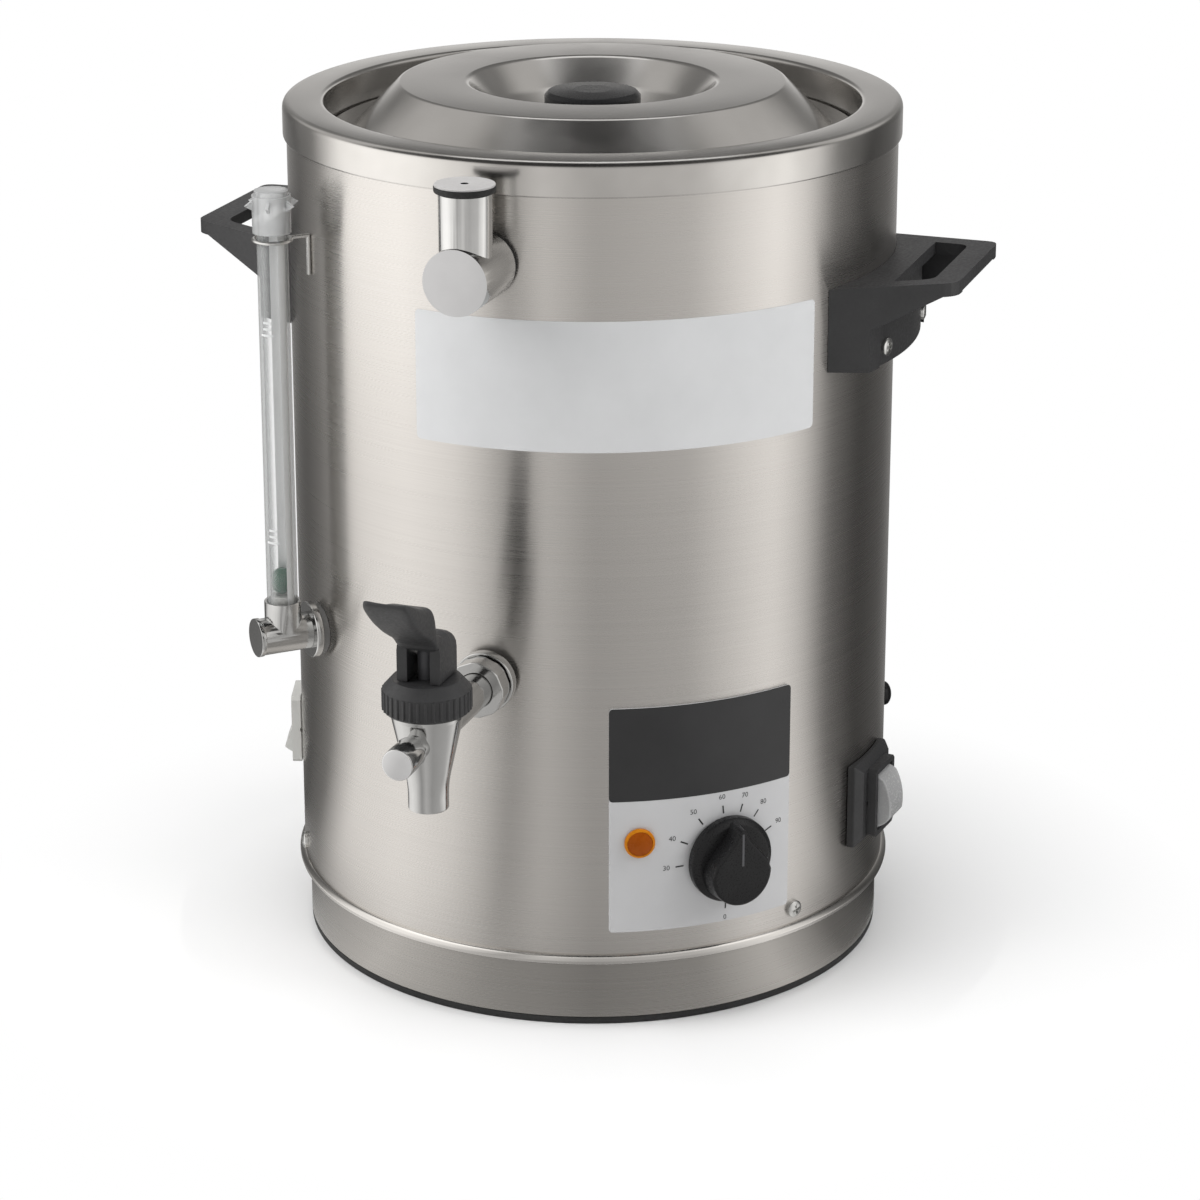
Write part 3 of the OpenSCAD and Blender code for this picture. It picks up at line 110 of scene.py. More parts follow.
def aimed(angle):
    """Turn round the body's axis that points +X outwards in a direction."""
    return Matrix.Rotation(math.radians(angle - 90), 4, "Z")


def facing(angle, reach=0.0, z=0.0):
    """Local frame on the body: +X points outwards in a direction, +Z is up. In millimetres."""
    return aimed(angle) @ Matrix.Translation((reach * MM, 0, z * MM))


def arc(centre, radius, start, end, steps=6):
    """Points along an arc, in degrees."""
    points = []
    for i in range(steps + 1):
        a = math.radians(start + (end - start) * i / steps)
        points.append((centre[0] + radius * math.cos(a), centre[1] + radius * math.sin(a)))
    return points


def filleted(points, radius, closed=True, steps=5):
    """The same outline with its corners rounded. A point may carry its own radius as a third value."""
    rounded = []
    count = len(points)
    for i, point in enumerate(points):
        here = Vector(point[:2])
        r = point[2] if len(point) > 2 else radius
        ends = not closed and i in (0, count - 1)
        if ends or r <= 0:
            rounded.append(tuple(here))
            continue
        back = Vector(points[i - 1][:2]) - here
        ahead = Vector(points[(i + 1) % count][:2]) - here
        angle = back.angle(ahead)
        if angle > math.radians(STRAIGHT):
            rounded.append(tuple(here))
            continue
        reach = min(r / math.tan(angle / 2), back.length * CORNER_SHARE, ahead.length * CORNER_SHARE)
        first = here + back.normalized() * reach
        last = here + ahead.normalized() * reach
        for s in range(steps + 1):
            t = s / steps
            rounded.append(tuple(first * (1 - t) ** 2 + here * 2 * t * (1 - t) + last * t ** 2))
    return rounded


def lathe(profile, segments=AROUND, wobble=None):
    """Vertices and faces of an outline (radius, height) turned round Z. It closes on itself, or on the axis.

    wobble(angle, radius, height) may give a radius of its own for each place round the axis.
    """
    verts = []
    rings = []
    for radius, height in profile:
        if radius < ON_AXIS:
            rings.append([len(verts)] * segments)
            verts.append((0.0, 0.0, height))
            continue
        rings.append(list(range(len(verts), len(verts) + segments)))
        for s in range(segments):
            angle = 2 * math.pi * s / segments
            r = wobble(angle, radius, height) if wobble else radius
            verts.append((r * math.cos(angle), r * math.sin(angle), height))
    pairs = list(zip(rings, rings[1:]))
    if profile[0][0] > ON_AXIS or profile[-1][0] > ON_AXIS:
        pairs.append((rings[-1], rings[0]))
    faces = []
    for low, high in pairs:
        for s in range(segments):
            n = (s + 1) % segments
            face = list(dict.fromkeys((low[s], low[n], high[n], high[s])))
            if len(face) > 2:
                faces.append(face)
    return verts, faces


def prism(outline, low, high, top_outline=None):
    """Vertices and faces of a closed outline (x, y) drawn out along Z, to another outline if one is given."""
    return loft([[(x, y, low) for x, y in outline], [(x, y, high) for x, y in top_outline or outline]])


def joined(*shapes):
    """Several closed shapes as one list of vertices and one of faces."""
    verts = []
    faces = []
    for shape_verts, shape_faces in shapes:
        start = len(verts)
        verts += list(shape_verts)
        faces += [[v + start for v in face] for face in shape_faces]
    return verts, faces


def moved(shape, matrix):
    """A shape in millimetres, turned and shifted by a matrix whose shift is in millimetres too."""
    verts, faces = shape
    return [tuple(matrix @ Vector(v)) for v in verts], faces


def outwards(shape):
    """A shape whose Z becomes the local +X: what was turned or drawn out upwards then points outwards."""
    verts, faces = shape
    return [(z, x, y) for x, y, z in verts], faces


def sideways(shape):
    """A shape whose Y becomes the height and whose Z runs across: a side view drawn out to both sides."""
    verts, faces = shape
    return [(x, z, y) for x, y, z in verts], faces


def loft(sections):
    """Vertices and faces of a closed skin over a row of sections that have equally many points."""
    count = len(sections[0])
    verts = [point for section in sections for point in section]
    last = len(verts) - count
    faces = [list(range(count)), list(range(last, last + count))]
    for start in range(0, last, count):
        for k in range(count):
            n = (k + 1) % count
            faces.append([start + k, start + n, start + count + n, start + count + k])
    return verts, faces


def smooth_row(rows, steps=4):
    """Rows of values with more rows between them, on a curve through all of them."""
    dense = []
    for i in range(len(rows) - 1):
        before = rows[max(i - 1, 0)]
        after = rows[min(i + 2, len(rows) - 1)]
        for s in range(steps):
            t = s / steps
            row = []
            for a, b, c, d in zip(before, rows[i], rows[i + 1], after):
                bend = 2 * a - 5 * b + 4 * c - d
                twist = 3 * b - a - 3 * c + d
                row.append(b + t * (c - a) / 2 + t * t * bend / 2 + t ** 3 * twist / 2)
            dense.append(tuple(row))
    return dense + [tuple(rows[-1])]


def polar(angle, reach, z):
    """A point in a direction, at a distance from the axis and at a height, in millimetres."""
    a = math.radians(angle)
    return reach * math.sin(a), -reach * math.cos(a), z


def curved_sheet(angles, heights, radii, corner, steps=40):
    """Sheet round the axis between two directions, two heights and two radii, with rounded corners."""
    corner_steps = 6
    low, high = angles
    turn = math.degrees(corner / radii[1])
    columns = []
    for s in range(corner_steps + 1):
        t = math.radians(90 * s / corner_steps)
        columns.append((turn * (1 - math.cos(t)), corner * (1 - math.sin(t))))
    sides = [(low + a, inset) for a, inset in columns]
    middle = [(low + turn + (high - low - 2 * turn) * s / steps, 0.0) for s in range(1, steps)]
    other = [(high - a, inset) for a, inset in reversed(columns)]
    sections = []
    for angle, inset in sides + middle + other:
        low_z = heights[0] + inset
        high_z = heights[1] - inset
        sections.append([polar(angle, radii[0], low_z), polar(angle, radii[0], high_z),
                         polar(angle, radii[1], high_z), polar(angle, radii[1], low_z)])
    return loft(sections)


def lettering(text, size):
    """Vertices and faces of a short flat text, centred on the origin, in millimetres."""
    curve = bpy.data.curves.new(text, "FONT")
    curve.body = text
    curve.size = size
    curve.align_x = "CENTER"
    curve.align_y = "CENTER"
    curve.resolution_u = 3
    holder = bpy.data.objects.new(text, curve)
    mesh = bpy.data.meshes.new_from_object(holder)
    verts = [tuple(v.co) for v in mesh.vertices]
    faces = [list(face.vertices) for face in mesh.polygons]
    bpy.data.objects.remove(holder)
    bpy.data.meshes.remove(mesh)
    bpy.data.curves.remove(curve)
    return verts, faces


def wrapped(shape, angle, z, reach):
    """A flat shape (right, up) laid on a cylinder round the body's axis."""
    verts, faces = shape
    return [polar(angle + math.degrees(x / reach), reach, z + y) for x, y, _ in verts], faces


def shown(name, data):
    """A new object in the scene that shows some data."""
    made = bpy.data.objects.new(name, data)
    bpy.context.scene.collection.objects.link(made)
    return made


def make(name, shape, material, body="housing", place=None, sharp=32.0):
    """A mesh piece from a shape in millimetres, at a place in the frame, riding on a CAD body."""
    verts, faces = shape
    mesh = bpy.data.meshes.new(name)
    mesh.from_pydata([tuple(c * MM for c in v) for v in verts], [], faces)
    if place is not None:
        mesh.transform(place)
    solid = bmesh.new()
    solid.from_mesh(mesh)
    bmesh.ops.recalc_face_normals(solid, faces=solid.faces)
    solid.to_mesh(mesh)
    solid.free()
    mesh.shade_smooth()
    mesh.set_sharp_from_angle(angle=math.radians(sharp))
    piece = shown(name, mesh)
    mesh.materials.append(material)
    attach(piece, body)
    return piece


def soften(piece, width, segments=3, angle=35.0):
    """Rounds a piece's edges by a width in millimetres."""
    bevel = piece.modifiers.new("edges", "BEVEL")
    bevel.width = width * MM
    bevel.segments = segments
    bevel.limit_method = "ANGLE"
    bevel.angle_limit = math.radians(angle)
    bevel.harden_normals = True


def second_finish(mesh, material, chosen):
    """Gives the faces that a test picks a second material."""
    mesh.materials.append(material)
    last = len(mesh.materials) - 1
    for face in mesh.polygons:
        if chosen(face):
            face.material_index = last


def stands_for(piece, slot, *cad_nodes):
    """The piece replaces CAD nodes, which are hidden. The piece and the slot of the record are not used."""
    if cad_nodes:
        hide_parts(*cad_nodes)


# Material helpers

def new_material(name):
    """A plain material, its node tree and its shader."""
    material = bpy.data.materials.new(name)
    material.use_nodes = True
    tree = material.node_tree
    return material, tree, tree.nodes["Principled BSDF"]


def plug(socket, value):
    """Links an input to the output of another node, or sets it to a plain value."""
    if isinstance(value, bpy.types.NodeSocket):
        socket.id_data.links.new(value, socket)
    else:
        socket.default_value = value


def feed(made, **values):
    """Fills inputs of a node by their names, with spaces written as underscores."""
    for name, value in values.items():
        plug(made.inputs[name.replace("_", " ")], value)


def node(tree, kind, **values):
    """A shader node of a kind with its own properties set."""
    made = tree.nodes.new("ShaderNode" + kind)
    for name, value in values.items():
        setattr(made, name, value)
    return made


def noise(tree, scale, stretch=(1, 1, 1), detail=4.0, roughness=0.55):
    """Noise over the object's own coordinates, stretched along the axes."""
    place = node(tree, "TexCoord")
    mapping = node(tree, "Mapping")
    feed(mapping, Vector=place.outputs["Object"], Scale=stretch)
    texture = node(tree, "TexNoise")
    feed(texture, Vector=mapping.outputs["Vector"], Scale=scale, Detail=detail, Roughness=roughness)
    return texture.outputs["Fac"]


def maths(tree, operation, first, second):
    """Result of a calculation on two values, each a number or the output of a node."""
    made = node(tree, "Math", operation=operation)
    plug(made.inputs[0], first)
    plug(made.inputs[1], second)
    return made.outputs["Value"]


def between(tree, factor, low, high, start=0.3, end=0.7):
    """A value that runs from low to high as a factor goes from start to end."""
    ranged = node(tree, "MapRange")
    feed(ranged, Value=factor, From_Min=start, From_Max=end, To_Min=low, To_Max=high)
    return ranged.outputs["Result"]


def shades(tree, factor, dark, light, start=0.3, end=0.7):
    """A colour that runs from dark to light as a factor goes from start to end."""
    ramp = node(tree, "ValToRGB")
    ramp.color_ramp.elements[0].position = start
    ramp.color_ramp.elements[1].position = end
    ramp.color_ramp.elements[0].color = (*dark, 1)
    ramp.color_ramp.elements[1].color = (*light, 1)
    feed(ramp, Fac=factor)
    return ramp.outputs["Color"]


def bump(tree, shader, height, distance, strength=1.0):
    """Relief from a height, over a distance in millimetres."""
    relief = node(tree, "Bump")
    feed(relief, Strength=strength, Distance=distance * MM, Height=height)
    feed(shader, Normal=relief.outputs["Normal"])


def brushed_metal(name, dark, light, rough_low, rough_high, stretch, anisotropic, relief):
    """Metal with fine brush lines along one direction, and a highlight spread across them."""
    material, tree, shader = new_material(name)
    tangent = node(tree, "Tangent", direction_type="RADIAL", axis="Z")
    lines = noise(tree, 1.0, stretch, detail=2.0)
    clouds = noise(tree, 9.0, detail=3.0)
    rough = between(tree, lines, rough_low, rough_high)
    haze = between(tree, clouds, -0.02, 0.02)
    feed(shader, Metallic=1.0, Anisotropic=anisotropic, Anisotropic_Rotation=0.25,
         Tangent=tangent.outputs["Tangent"], Base_Color=shades(tree, lines, dark, light),
         Roughness=maths(tree, "ADD", rough, haze))
    bump(tree, shader, lines, relief, 0.3)
    return material


def plated_metal(name, dark, light, rough_low, rough_high):
    """Polished plate with faint handling haze and small waviness."""
    material, tree, shader = new_material(name)
    haze = noise(tree, 60.0, detail=6.0)
    feed(shader, Metallic=1.0, Base_Color=shades(tree, haze, dark, light),
         Roughness=between(tree, haze, rough_low, rough_high))
    bump(tree, shader, noise(tree, 25.0, detail=1.0), 0.02, 0.4)
    return material


def moulded_plastic(name, dark, light, rough_low, rough_high, grain=900.0, relief=0.03, coat=0.0, gloss=0.45):
    """Moulded plastic with a fine spark-eroded grain, paler where it is rubbed."""
    material, tree, shader = new_material(name)
    cloud = noise(tree, 35.0, detail=5.0)
    speckle = noise(tree, grain, detail=2.0)
    feed(shader, Specular_IOR_Level=gloss, Coat_Weight=coat, Coat_Roughness=0.2,
         Base_Color=shades(tree, cloud, dark, light), Roughness=between(tree, speckle, rough_low, rough_high))
    bump(tree, shader, speckle, relief, 0.6)
    return material


def clear_material(name, tint, alpha_low, alpha_high, roughness):
    """Clear glass or plastic with streaks: a bright skin, denser and darker along the edges of its wall, the
    darker colour there being painted shade.
    """
    material, tree, shader = new_material(name)
    streaks = noise(tree, 20.0, (1, 1, 0.1), detail=3.0)
    rim = node(tree, "LayerWeight")
    feed(rim, Blend=0.5)
    # Painted shade: half the tint, where the wall is seen edge-on.
    dark = tuple(c * 0.5 for c in tint)
    along = rim.outputs["Facing"]
    feed(shader, Specular_IOR_Level=0.8, Base_Color=shades(tree, along, tint, dark, 0.1, 0.3),
         Roughness=between(tree, streaks, roughness * 0.5, roughness * 1.5),
         Alpha=between(tree, along, alpha_low, alpha_high, 0.1, 0.4))
    return material


def amber_lens(name, dark, light):
    """Translucent amber plastic with a fine grain and a faint glow."""
    material, tree, shader = new_material(name)
    grain = noise(tree, 420.0, detail=3.0)
    colour = shades(tree, grain, dark, light)
    feed(shader, Specular_IOR_Level=0.12, Emission_Strength=0.05, Subsurface_Weight=0.2,
         Subsurface_Radius=(0.004, 0.002, 0.001), Base_Color=colour, Emission_Color=colour,
         Roughness=between(tree, grain, 0.22, 0.36))
    return material


BRUSHED = brushed_metal("brushed_steel", (0.585, 0.563, 0.54), (0.62, 0.598, 0.573), 0.26, 0.3,
                        (5, 5, 2200), 0.9, 0.002)
# Painted shade: a darker copy of the shell's brushed steel, standing in for the darker reflections on the
# base.
BASE_STEEL_PAINTED_SHADE = brushed_metal("base_steel_painted_shade", (0.42, 0.404, 0.384), (0.45, 0.433, 0.412), 0.26, 0.3,
                           (5, 5, 2200), 0.9, 0.002)
# Painted highlight: a paler, smoother copy of the steel for the bead, standing in for its bright highlight
# line.
BEAD_STEEL_PAINTED_HIGHLIGHT = brushed_metal("bead_steel_painted_highlight", (0.68, 0.66, 0.635), (0.74, 0.72, 0.695), 0.16, 0.22,
                           (5, 5, 900), 0.5, 0.02)
POLISHED = brushed_metal("polished_rim_steel", (0.5, 0.485, 0.465), (0.58, 0.565, 0.545), 0.16, 0.24,
                         (40, 40, 40), 0.3, 0.01)
INNER = brushed_metal("plain_steel", (0.5, 0.5, 0.49), (0.62, 0.62, 0.61), 0.25, 0.4, (5, 5, 900), 0.5, 0.02)
CHROME = plated_metal("chrome_plate", (0.53, 0.53, 0.525), (0.59, 0.59, 0.585), 0.1, 0.16)
# Painted highlights: paler chrome for the end faces of the plug and of the filler's barrel that look to the
# front.
SATIN_END_PAINTED_HIGHLIGHT = plated_metal("satin_end_painted_highlight", (0.62, 0.62, 0.628), (0.67, 0.67, 0.678), 0.3, 0.4)
PALE_END_PAINTED_HIGHLIGHT = plated_metal("pale_satin_end_painted_highlight", (0.84, 0.84, 0.848), (0.88, 0.88, 0.888), 0.3, 0.4)
CAP = moulded_plastic("satin_cap", (0.36, 0.352, 0.348), (0.41, 0.402, 0.398), 0.34, 0.46)
BRIGHT = plated_metal("bright_steel", (0.55, 0.55, 0.54), (0.68, 0.68, 0.67), 0.18, 0.3)
BLACK = moulded_plastic("black_grained_plastic", (0.022, 0.022, 0.023), (0.032, 0.032, 0.033), 0.42, 0.58)
DIAL_BLACK = moulded_plastic("black_satin_plastic", (0.006, 0.006, 0.0065), (0.011, 0.011, 0.0115),
                             0.24, 0.36, grain=1400.0, relief=0.01, gloss=0.25)
# Black rubber, which also serves as painted shade in the filler's vent hole.
RUBBER_AND_VENT_SHADE = moulded_plastic("black_rubber_and_vent_shade", (0.012, 0.012, 0.012), (0.022, 0.022, 0.022), 0.6, 0.8)
GREY_RUBBER = moulded_plastic("grey_rubber", (0.13, 0.128, 0.124), (0.17, 0.168, 0.164), 0.5, 0.7)
SILICONE = moulded_plastic("white_silicone", (0.62, 0.61, 0.58), (0.7, 0.69, 0.66), 0.4, 0.55)
GREY = moulded_plastic("grey_switch_plastic", (0.3, 0.3, 0.3), (0.38, 0.38, 0.38), 0.2, 0.3,
                       grain=1200.0, relief=0.01, coat=0.2)
PALE = moulded_plastic("pale_switch_plastic", (0.48, 0.48, 0.46), (0.56, 0.56, 0.54), 0.3, 0.42)
PANEL = moulded_plastic("panel_overlay", (0.5, 0.5, 0.505), (0.53, 0.53, 0.535), 0.36, 0.46,
                        grain=1600.0, relief=0.006)
HEADER = moulded_plastic("dark_overlay", (0.018, 0.018, 0.019), (0.023, 0.023, 0.024), 0.4, 0.5,
                         grain=1600.0, relief=0.006)
PRINT = moulded_plastic("black_print", (0.02, 0.02, 0.02), (0.03, 0.03, 0.03), 0.45, 0.55)
WHITE_PRINT = moulded_plastic("white_print", (0.62, 0.63, 0.63), (0.7, 0.7, 0.7), 0.45, 0.55)
STICKER = moulded_plastic("blank_sticker", (0.6, 0.605, 0.61), (0.64, 0.645, 0.65), 0.34, 0.44,
                          grain=700.0, relief=0.006)
FLOAT = moulded_plastic("green_float", (0.0, 0.075, 0.035), (0.002, 0.105, 0.05), 0.2, 0.3)
DARK_METAL = moulded_plastic("dark_coated_metal", (0.05, 0.05, 0.055), (0.09, 0.09, 0.095), 0.35, 0.5)
COPPER = plated_metal("drawn_copper", (0.5, 0.26, 0.16), (0.62, 0.36, 0.24), 0.25, 0.4)
AMBER = amber_lens("amber_lens", (0.26, 0.052, 0.0), (0.3, 0.064, 0.001))
GLASS = clear_material("gauge_glass", (0.72, 0.735, 0.73), 0.1, 0.55, 0.05)
# Painted light: the milky stripe's colour is raised to offset the shade inside the gauge's tube.
MILK_GLASS_PAINTED_LIGHT = moulded_plastic("milk_glass_painted_light", (0.82, 0.825, 0.82), (0.86, 0.865, 0.86), 0.1, 0.18, coat=0.3)
CLEAR = clear_material("clear_plastic", (0.84, 0.85, 0.85), 0.4, 0.75, 0.12)
AMBER_EDGE = amber_lens("amber_edge", (0.46, 0.15, 0.004), (0.54, 0.19, 0.006))

SLOT_LOOKS = {
    "brushed_shell": BRUSHED, "polished_steel": POLISHED, "inner_steel": INNER, "screw_steel": BRIGHT,
    "chrome": CHROME, "black_plastic": BLACK, "dial_plastic": DIAL_BLACK, "rubber": RUBBER_AND_VENT_SHADE,
    "silicone": SILICONE, "glass": GLASS, "clear_plastic": CLEAR, "float_green": FLOAT, "panel": PANEL,
    "amber": AMBER, "grey_plastic": GREY, "pale_plastic": PALE, "motor_metal": DARK_METAL, "copper": COPPER,
}
NODE_LOOKS = {"gauge_gasket": GREY_RUBBER, "tap_stem": DARK_METAL}
WELD_GAP = 0.002
FLAT_ANGLE = 0.6


def dress_nodes():
    """Gives every CAD node the look of its slot in the record, or a look of its own."""
    for part in frame["record"]["subparts"]:
        mesh = nodes[part["node"]].data
        mesh.materials.clear()
        mesh.materials.append(SLOT_LOOKS[part["material_slot"]])
    for name, look in NODE_LOOKS.items():
        nodes[name].data.materials[0] = look


def round_edges(name, width):
    """Rounds the edges of a CAD node that stays, by a width in millimetres."""
    weld = nodes[name].modifiers.new("weld", "WELD")
    weld.merge_threshold = WELD_GAP * MM
    flat = nodes[name].modifiers.new("flat", "DECIMATE")
    flat.decimate_type = "DISSOLVE"
    flat.angle_limit = math.radians(FLAT_ANGLE)
    soften(nodes[name], width)


dress_nodes()


# Body

def build_shell():
    """Brushed steel tube, open at both ends, with a rounded lower edge."""
    inner = SHELL_R - SHEET
    profile = filleted([(inner, SHELL_Z0), (SHELL_R, SHELL_Z0, 0.35), (SHELL_R, SHELL_TOP),
                        (inner, SHELL_TOP)], 0)
    stands_for(make("shell_tube", lathe(profile), BRUSHED), "brushed_shell", "outer_shell")


def build_rim():
    """Polished ring: a skirt over the shell, a rounded outer edge and the ledge for the lid."""
    edge_r = 3.2
    ledge_z = LID_Z0 - 0.4
    inner_r = LID_R + 1.5
    vat_r = radius_of("vat") - SHEET
    skirt_in = RIM_R - SHEET
    outer = [(RIM_R - 0.15, RIM_Z0, 0.3), (RIM_R, RIM_Z0 + 0.6, 0.5), (RIM_R, RIM_TOP, edge_r),
             (inner_r, RIM_TOP, 2.0), (inner_r, ledge_z, 0.8), (vat_r, ledge_z, 0.3)]
    under = [(vat_r, ledge_z - SHEET, 0.3), (inner_r + SHEET, ledge_z - SHEET, 0.8),
             (inner_r + SHEET, RIM_TOP - SHEET, 1.4), (skirt_in, RIM_TOP - SHEET, edge_r - SHEET),
             (skirt_in, RIM_Z0, 0.2)]
    stands_for(make("rim_ring", lathe(filleted(outer + under, 0.3)), POLISHED), "polished_steel", "top_rim")


def build_base():
    """Base skirt, the rolled bead under the shell, and the spigot inside the shell."""
    skirt_r = FOOT_R
    bead_proud = BEAD_R - SHELL_R
    bead_r = (BEAD_R - skirt_r) / 2 + 0.15
    bead_c = (BEAD_R - bead_r, SHELL_Z0 - bead_r + 0.3)
    spigot_r = SHELL_R - SHEET - 0.1
    bead = arc(bead_c, bead_r, -132, 84, 14)
    profile = [(skirt_r - SHEET, BASE_Z0), (skirt_r - 0.3, BASE_Z0), (skirt_r, BASE_Z0 + 0.3)]
    profile += [(skirt_r, bead[0][1] - 1.0)] + bead
    profile += [(spigot_r, SHELL_Z0), (spigot_r, SPIGOT_TOP), (spigot_r - SHEET, SPIGOT_TOP)]
    profile += [(spigot_r - SHEET, bead_c[1]), (skirt_r - SHEET, bead_c[1] - bead_proud)]
    # The skirt takes the darker steel, which is painted shade.
    piece = make("base_skirt", lathe(profile), BASE_STEEL_PAINTED_SHADE, sharp=40.0)
    # Faces from the bead upwards get the paler steel as a painted highlight.
    second_finish(piece.data, BEAD_STEEL_PAINTED_HIGHLIGHT, lambda face: face.center.z / MM > bead[0][1])
    stands_for(piece, "brushed_shell", "base_ring")


def build_foot():
    """Black rubber ring that the base stands on."""
    inner = FOOT_R - 6.0
    groove = FOOT_R - SHEET - 0.1
    profile = filleted([(inner, 0, 0.6), (FOOT_R - 0.1, 0, 0.8), (FOOT_R, BASE_Z0, 0.4), (groove, BASE_Z0, 0),
                        (groove, FOOT_TOP, 0.3), (inner, FOOT_TOP, 0.3)], 0.3)
    stands_for(make("foot_rubber", lathe(profile), RUBBER_AND_VENT_SHADE), "rubber", "foot_ring")


# Lid

def build_lid():
    """Pressed steel lid: a flange, a sloping side, a flat crown and a dish for the knob."""
    top = LID_TOP
    crown_r = 79.0
    dish_r = 51.0
    floor_r = 31.0
    floor_z = KNOB_Z0
    skirt_r = crown_r + (top - LID_Z0 - SHEET)
    slope_r = dish_r - 10
    slope_z = top - (top - floor_z) * 0.58
    outer = [(LID_R, LID_Z0 + SHEET, 0.3), (skirt_r, LID_Z0 + SHEET, 2.0), (crown_r, top, 2.2),
             (dish_r, top, 3.0), (slope_r, slope_z, 16.0), (floor_r, floor_z, 9.0), (0.0, floor_z, 0)]
    inner = [(r, z - SHEET, fillet) for r, z, fillet in reversed(outer)]
    profile = filleted(outer + inner, 0.3, closed=False, steps=8)
    piece = make("lid_pressing", lathe(profile), POLISHED, "lid", sharp=40.0)
    stands_for(piece, "polished_steel", "lid_shell")


def build_lid_knob():
    """Black knob with a waisted neck, a thick edge and a nearly flat top."""
    flat_r = (KNOB_TOP - KNOB_Z0) * 0.5
    foot_r = 14.0
    neck_r = 12.0
    profile = filleted([(0, KNOB_Z0, 0), (foot_r, KNOB_Z0, 0.5), (neck_r, KNOB_Z0 + 3, 2.5),
                        (neck_r, KNOB_TOP - 10, 2.5), (KNOB_R - 1.2, KNOB_TOP - 8.2, 1.2),
                        (KNOB_R, KNOB_TOP - 6.6, 1.2), (KNOB_R, KNOB_TOP - 2.4, 0.9),
                        (KNOB_R - 1.5, KNOB_TOP - 0.7, 1.0), (flat_r, KNOB_TOP, 5.0), (0, KNOB_TOP, 0)],
                       0.5, closed=False, steps=6)
    piece = make("lid_grip", lathe(profile, 96), DIAL_BLACK, "lid", sharp=45.0)
    stands_for(piece, "black_plastic", "lid_knob")


# Plates and controls

STICKER_ANGLES = (-14.2, 62.8)
STICKER_HEIGHTS = (243.5, 295.7)
PANEL_HALF = 18.1
PANEL_R = SHELL_R + 0.9
HEADER_Z = 98.5
FILM = 0.06
DIAL_Z = 70.0
KNOB_SKIRT_R = 18.0
KNOB_HEIGHT = 13.0
LAMP_Z = 80.7
LAMP_R = 6.2
TICK_GAP = 1.2
TICK_LENGTH = 3.4
TICK_HALF = 0.32
NUMBER_GAP = 3.8
NUMBER_SIZE = 3.0
SCALE = [(183, "30"), (155, "40"), (125, "50"), (96, "60"), (73, "70"), (51, "80"), (23, "90"), (268, "0")]


def build_sticker():
    """Blank pale sheet where the instructions would be."""
    sheet = curved_sheet(STICKER_ANGLES, STICKER_HEIGHTS, (SHELL_R + 0.02, SHELL_R + 0.14), 2.0, 90)
    make("blank_label", sheet, STICKER)


def build_panel():
    """Curved panel with a dark field above the dial."""
    angles = (PANEL_ANGLE - PANEL_HALF, PANEL_ANGLE + PANEL_HALF)
    body = curved_sheet(angles, (PANEL_Z0, PANEL_TOP), (SHELL_R + 0.1, PANEL_R), 1.6, 60)
    stands_for(make("panel_sheet", body, PANEL), "panel", "control_panel")
    field = curved_sheet(angles, (HEADER_Z, PANEL_TOP), (PANEL_R - 0.2, PANEL_R + FILM), 1.6, 60)
    make("panel_header", field, HEADER)


def build_scale():
    """Printed ticks and numbers round the dial."""
    tick_in = KNOB_SKIRT_R + TICK_GAP
    tick_out = tick_in + TICK_LENGTH
    number_r = tick_out + NUMBER_GAP
    marks = []
    for angle, text in SCALE:
        a = math.radians(angle)
        across = Vector((-math.sin(a), math.cos(a), 0)) * TICK_HALF
        along = Vector((math.cos(a), math.sin(a), 0))
        corners = [along * tick_in - across, along * tick_out - across, along * tick_out + across,
                   along * tick_in + across]
        marks.append(([tuple(c) for c in corners], [[0, 1, 2, 3]]))
        number = lettering(text, NUMBER_SIZE)
        marks.append(moved(number, Matrix.Translation(along * number_r)))
    make("dial_scale", wrapped(joined(*marks), DIAL_ANGLE, DIAL_Z, PANEL_R + FILM), PRINT)


def build_dial():
    """Black knob: a round skirt and a ridge that narrows to its pointer."""
    place = facing(DIAL_ANGLE, PANEL_R + 0.6, DIAL_Z)
    skirt = lathe(filleted([(0, 0, 0), (KNOB_SKIRT_R, 0, 0.3), (KNOB_SKIRT_R, 3.4, 1.6),
                            (KNOB_SKIRT_R - 2.4, 5.4, 1.5), (0, 6.0, 0)], 0.3, closed=False), 128)
    tip = 1.9
    low_r = 14.4
    low_c = -2.2
    nose = KNOB_SKIRT_R - 0.7
    side = [(-low_r, low_c), (-12.6, 2.6), (-8.2, 7.6), (-4.4, 11.8), (-tip, KNOB_SKIRT_R - 1.6)]
    outline = arc((0, low_c), low_r, 180, 360, 28)
    outline += [(-x, z) for x, z in side[1:]]
    outline += [(tip * 0.5, nose), (-tip * 0.5, nose)]
    outline += list(reversed(side[1:]))
    outline = filleted(outline, 2.0, steps=4)
    crown = [(x * 0.9, (z - 1.0) * 0.95 + 0.6) for x, z in outline]
    ridge = prism(outline, 3.0, KNOB_HEIGHT, crown)
    grip = make("dial_grip", outwards(ridge), DIAL_BLACK, "dial", place, sharp=28.0)
    soften(grip, 1.1, 4, 30.0)
    base = make("dial_skirt", outwards(skirt), DIAL_BLACK, "dial", place, sharp=40.0)
    stands_for(base, "dial_plastic", "thermostat_knob")
    line_half = 0.45
    line_low = 1.0
    line_top = KNOB_SKIRT_R - 3.2
    corners = [(-line_half, line_low), (line_half, line_low), (line_half, line_top), (-line_half, line_top)]
    line = prism(filleted(corners, 0.2), KNOB_HEIGHT - 0.4, KNOB_HEIGHT + FILM)
    make("dial_pointer", outwards(line), DARK_METAL, "dial", place)


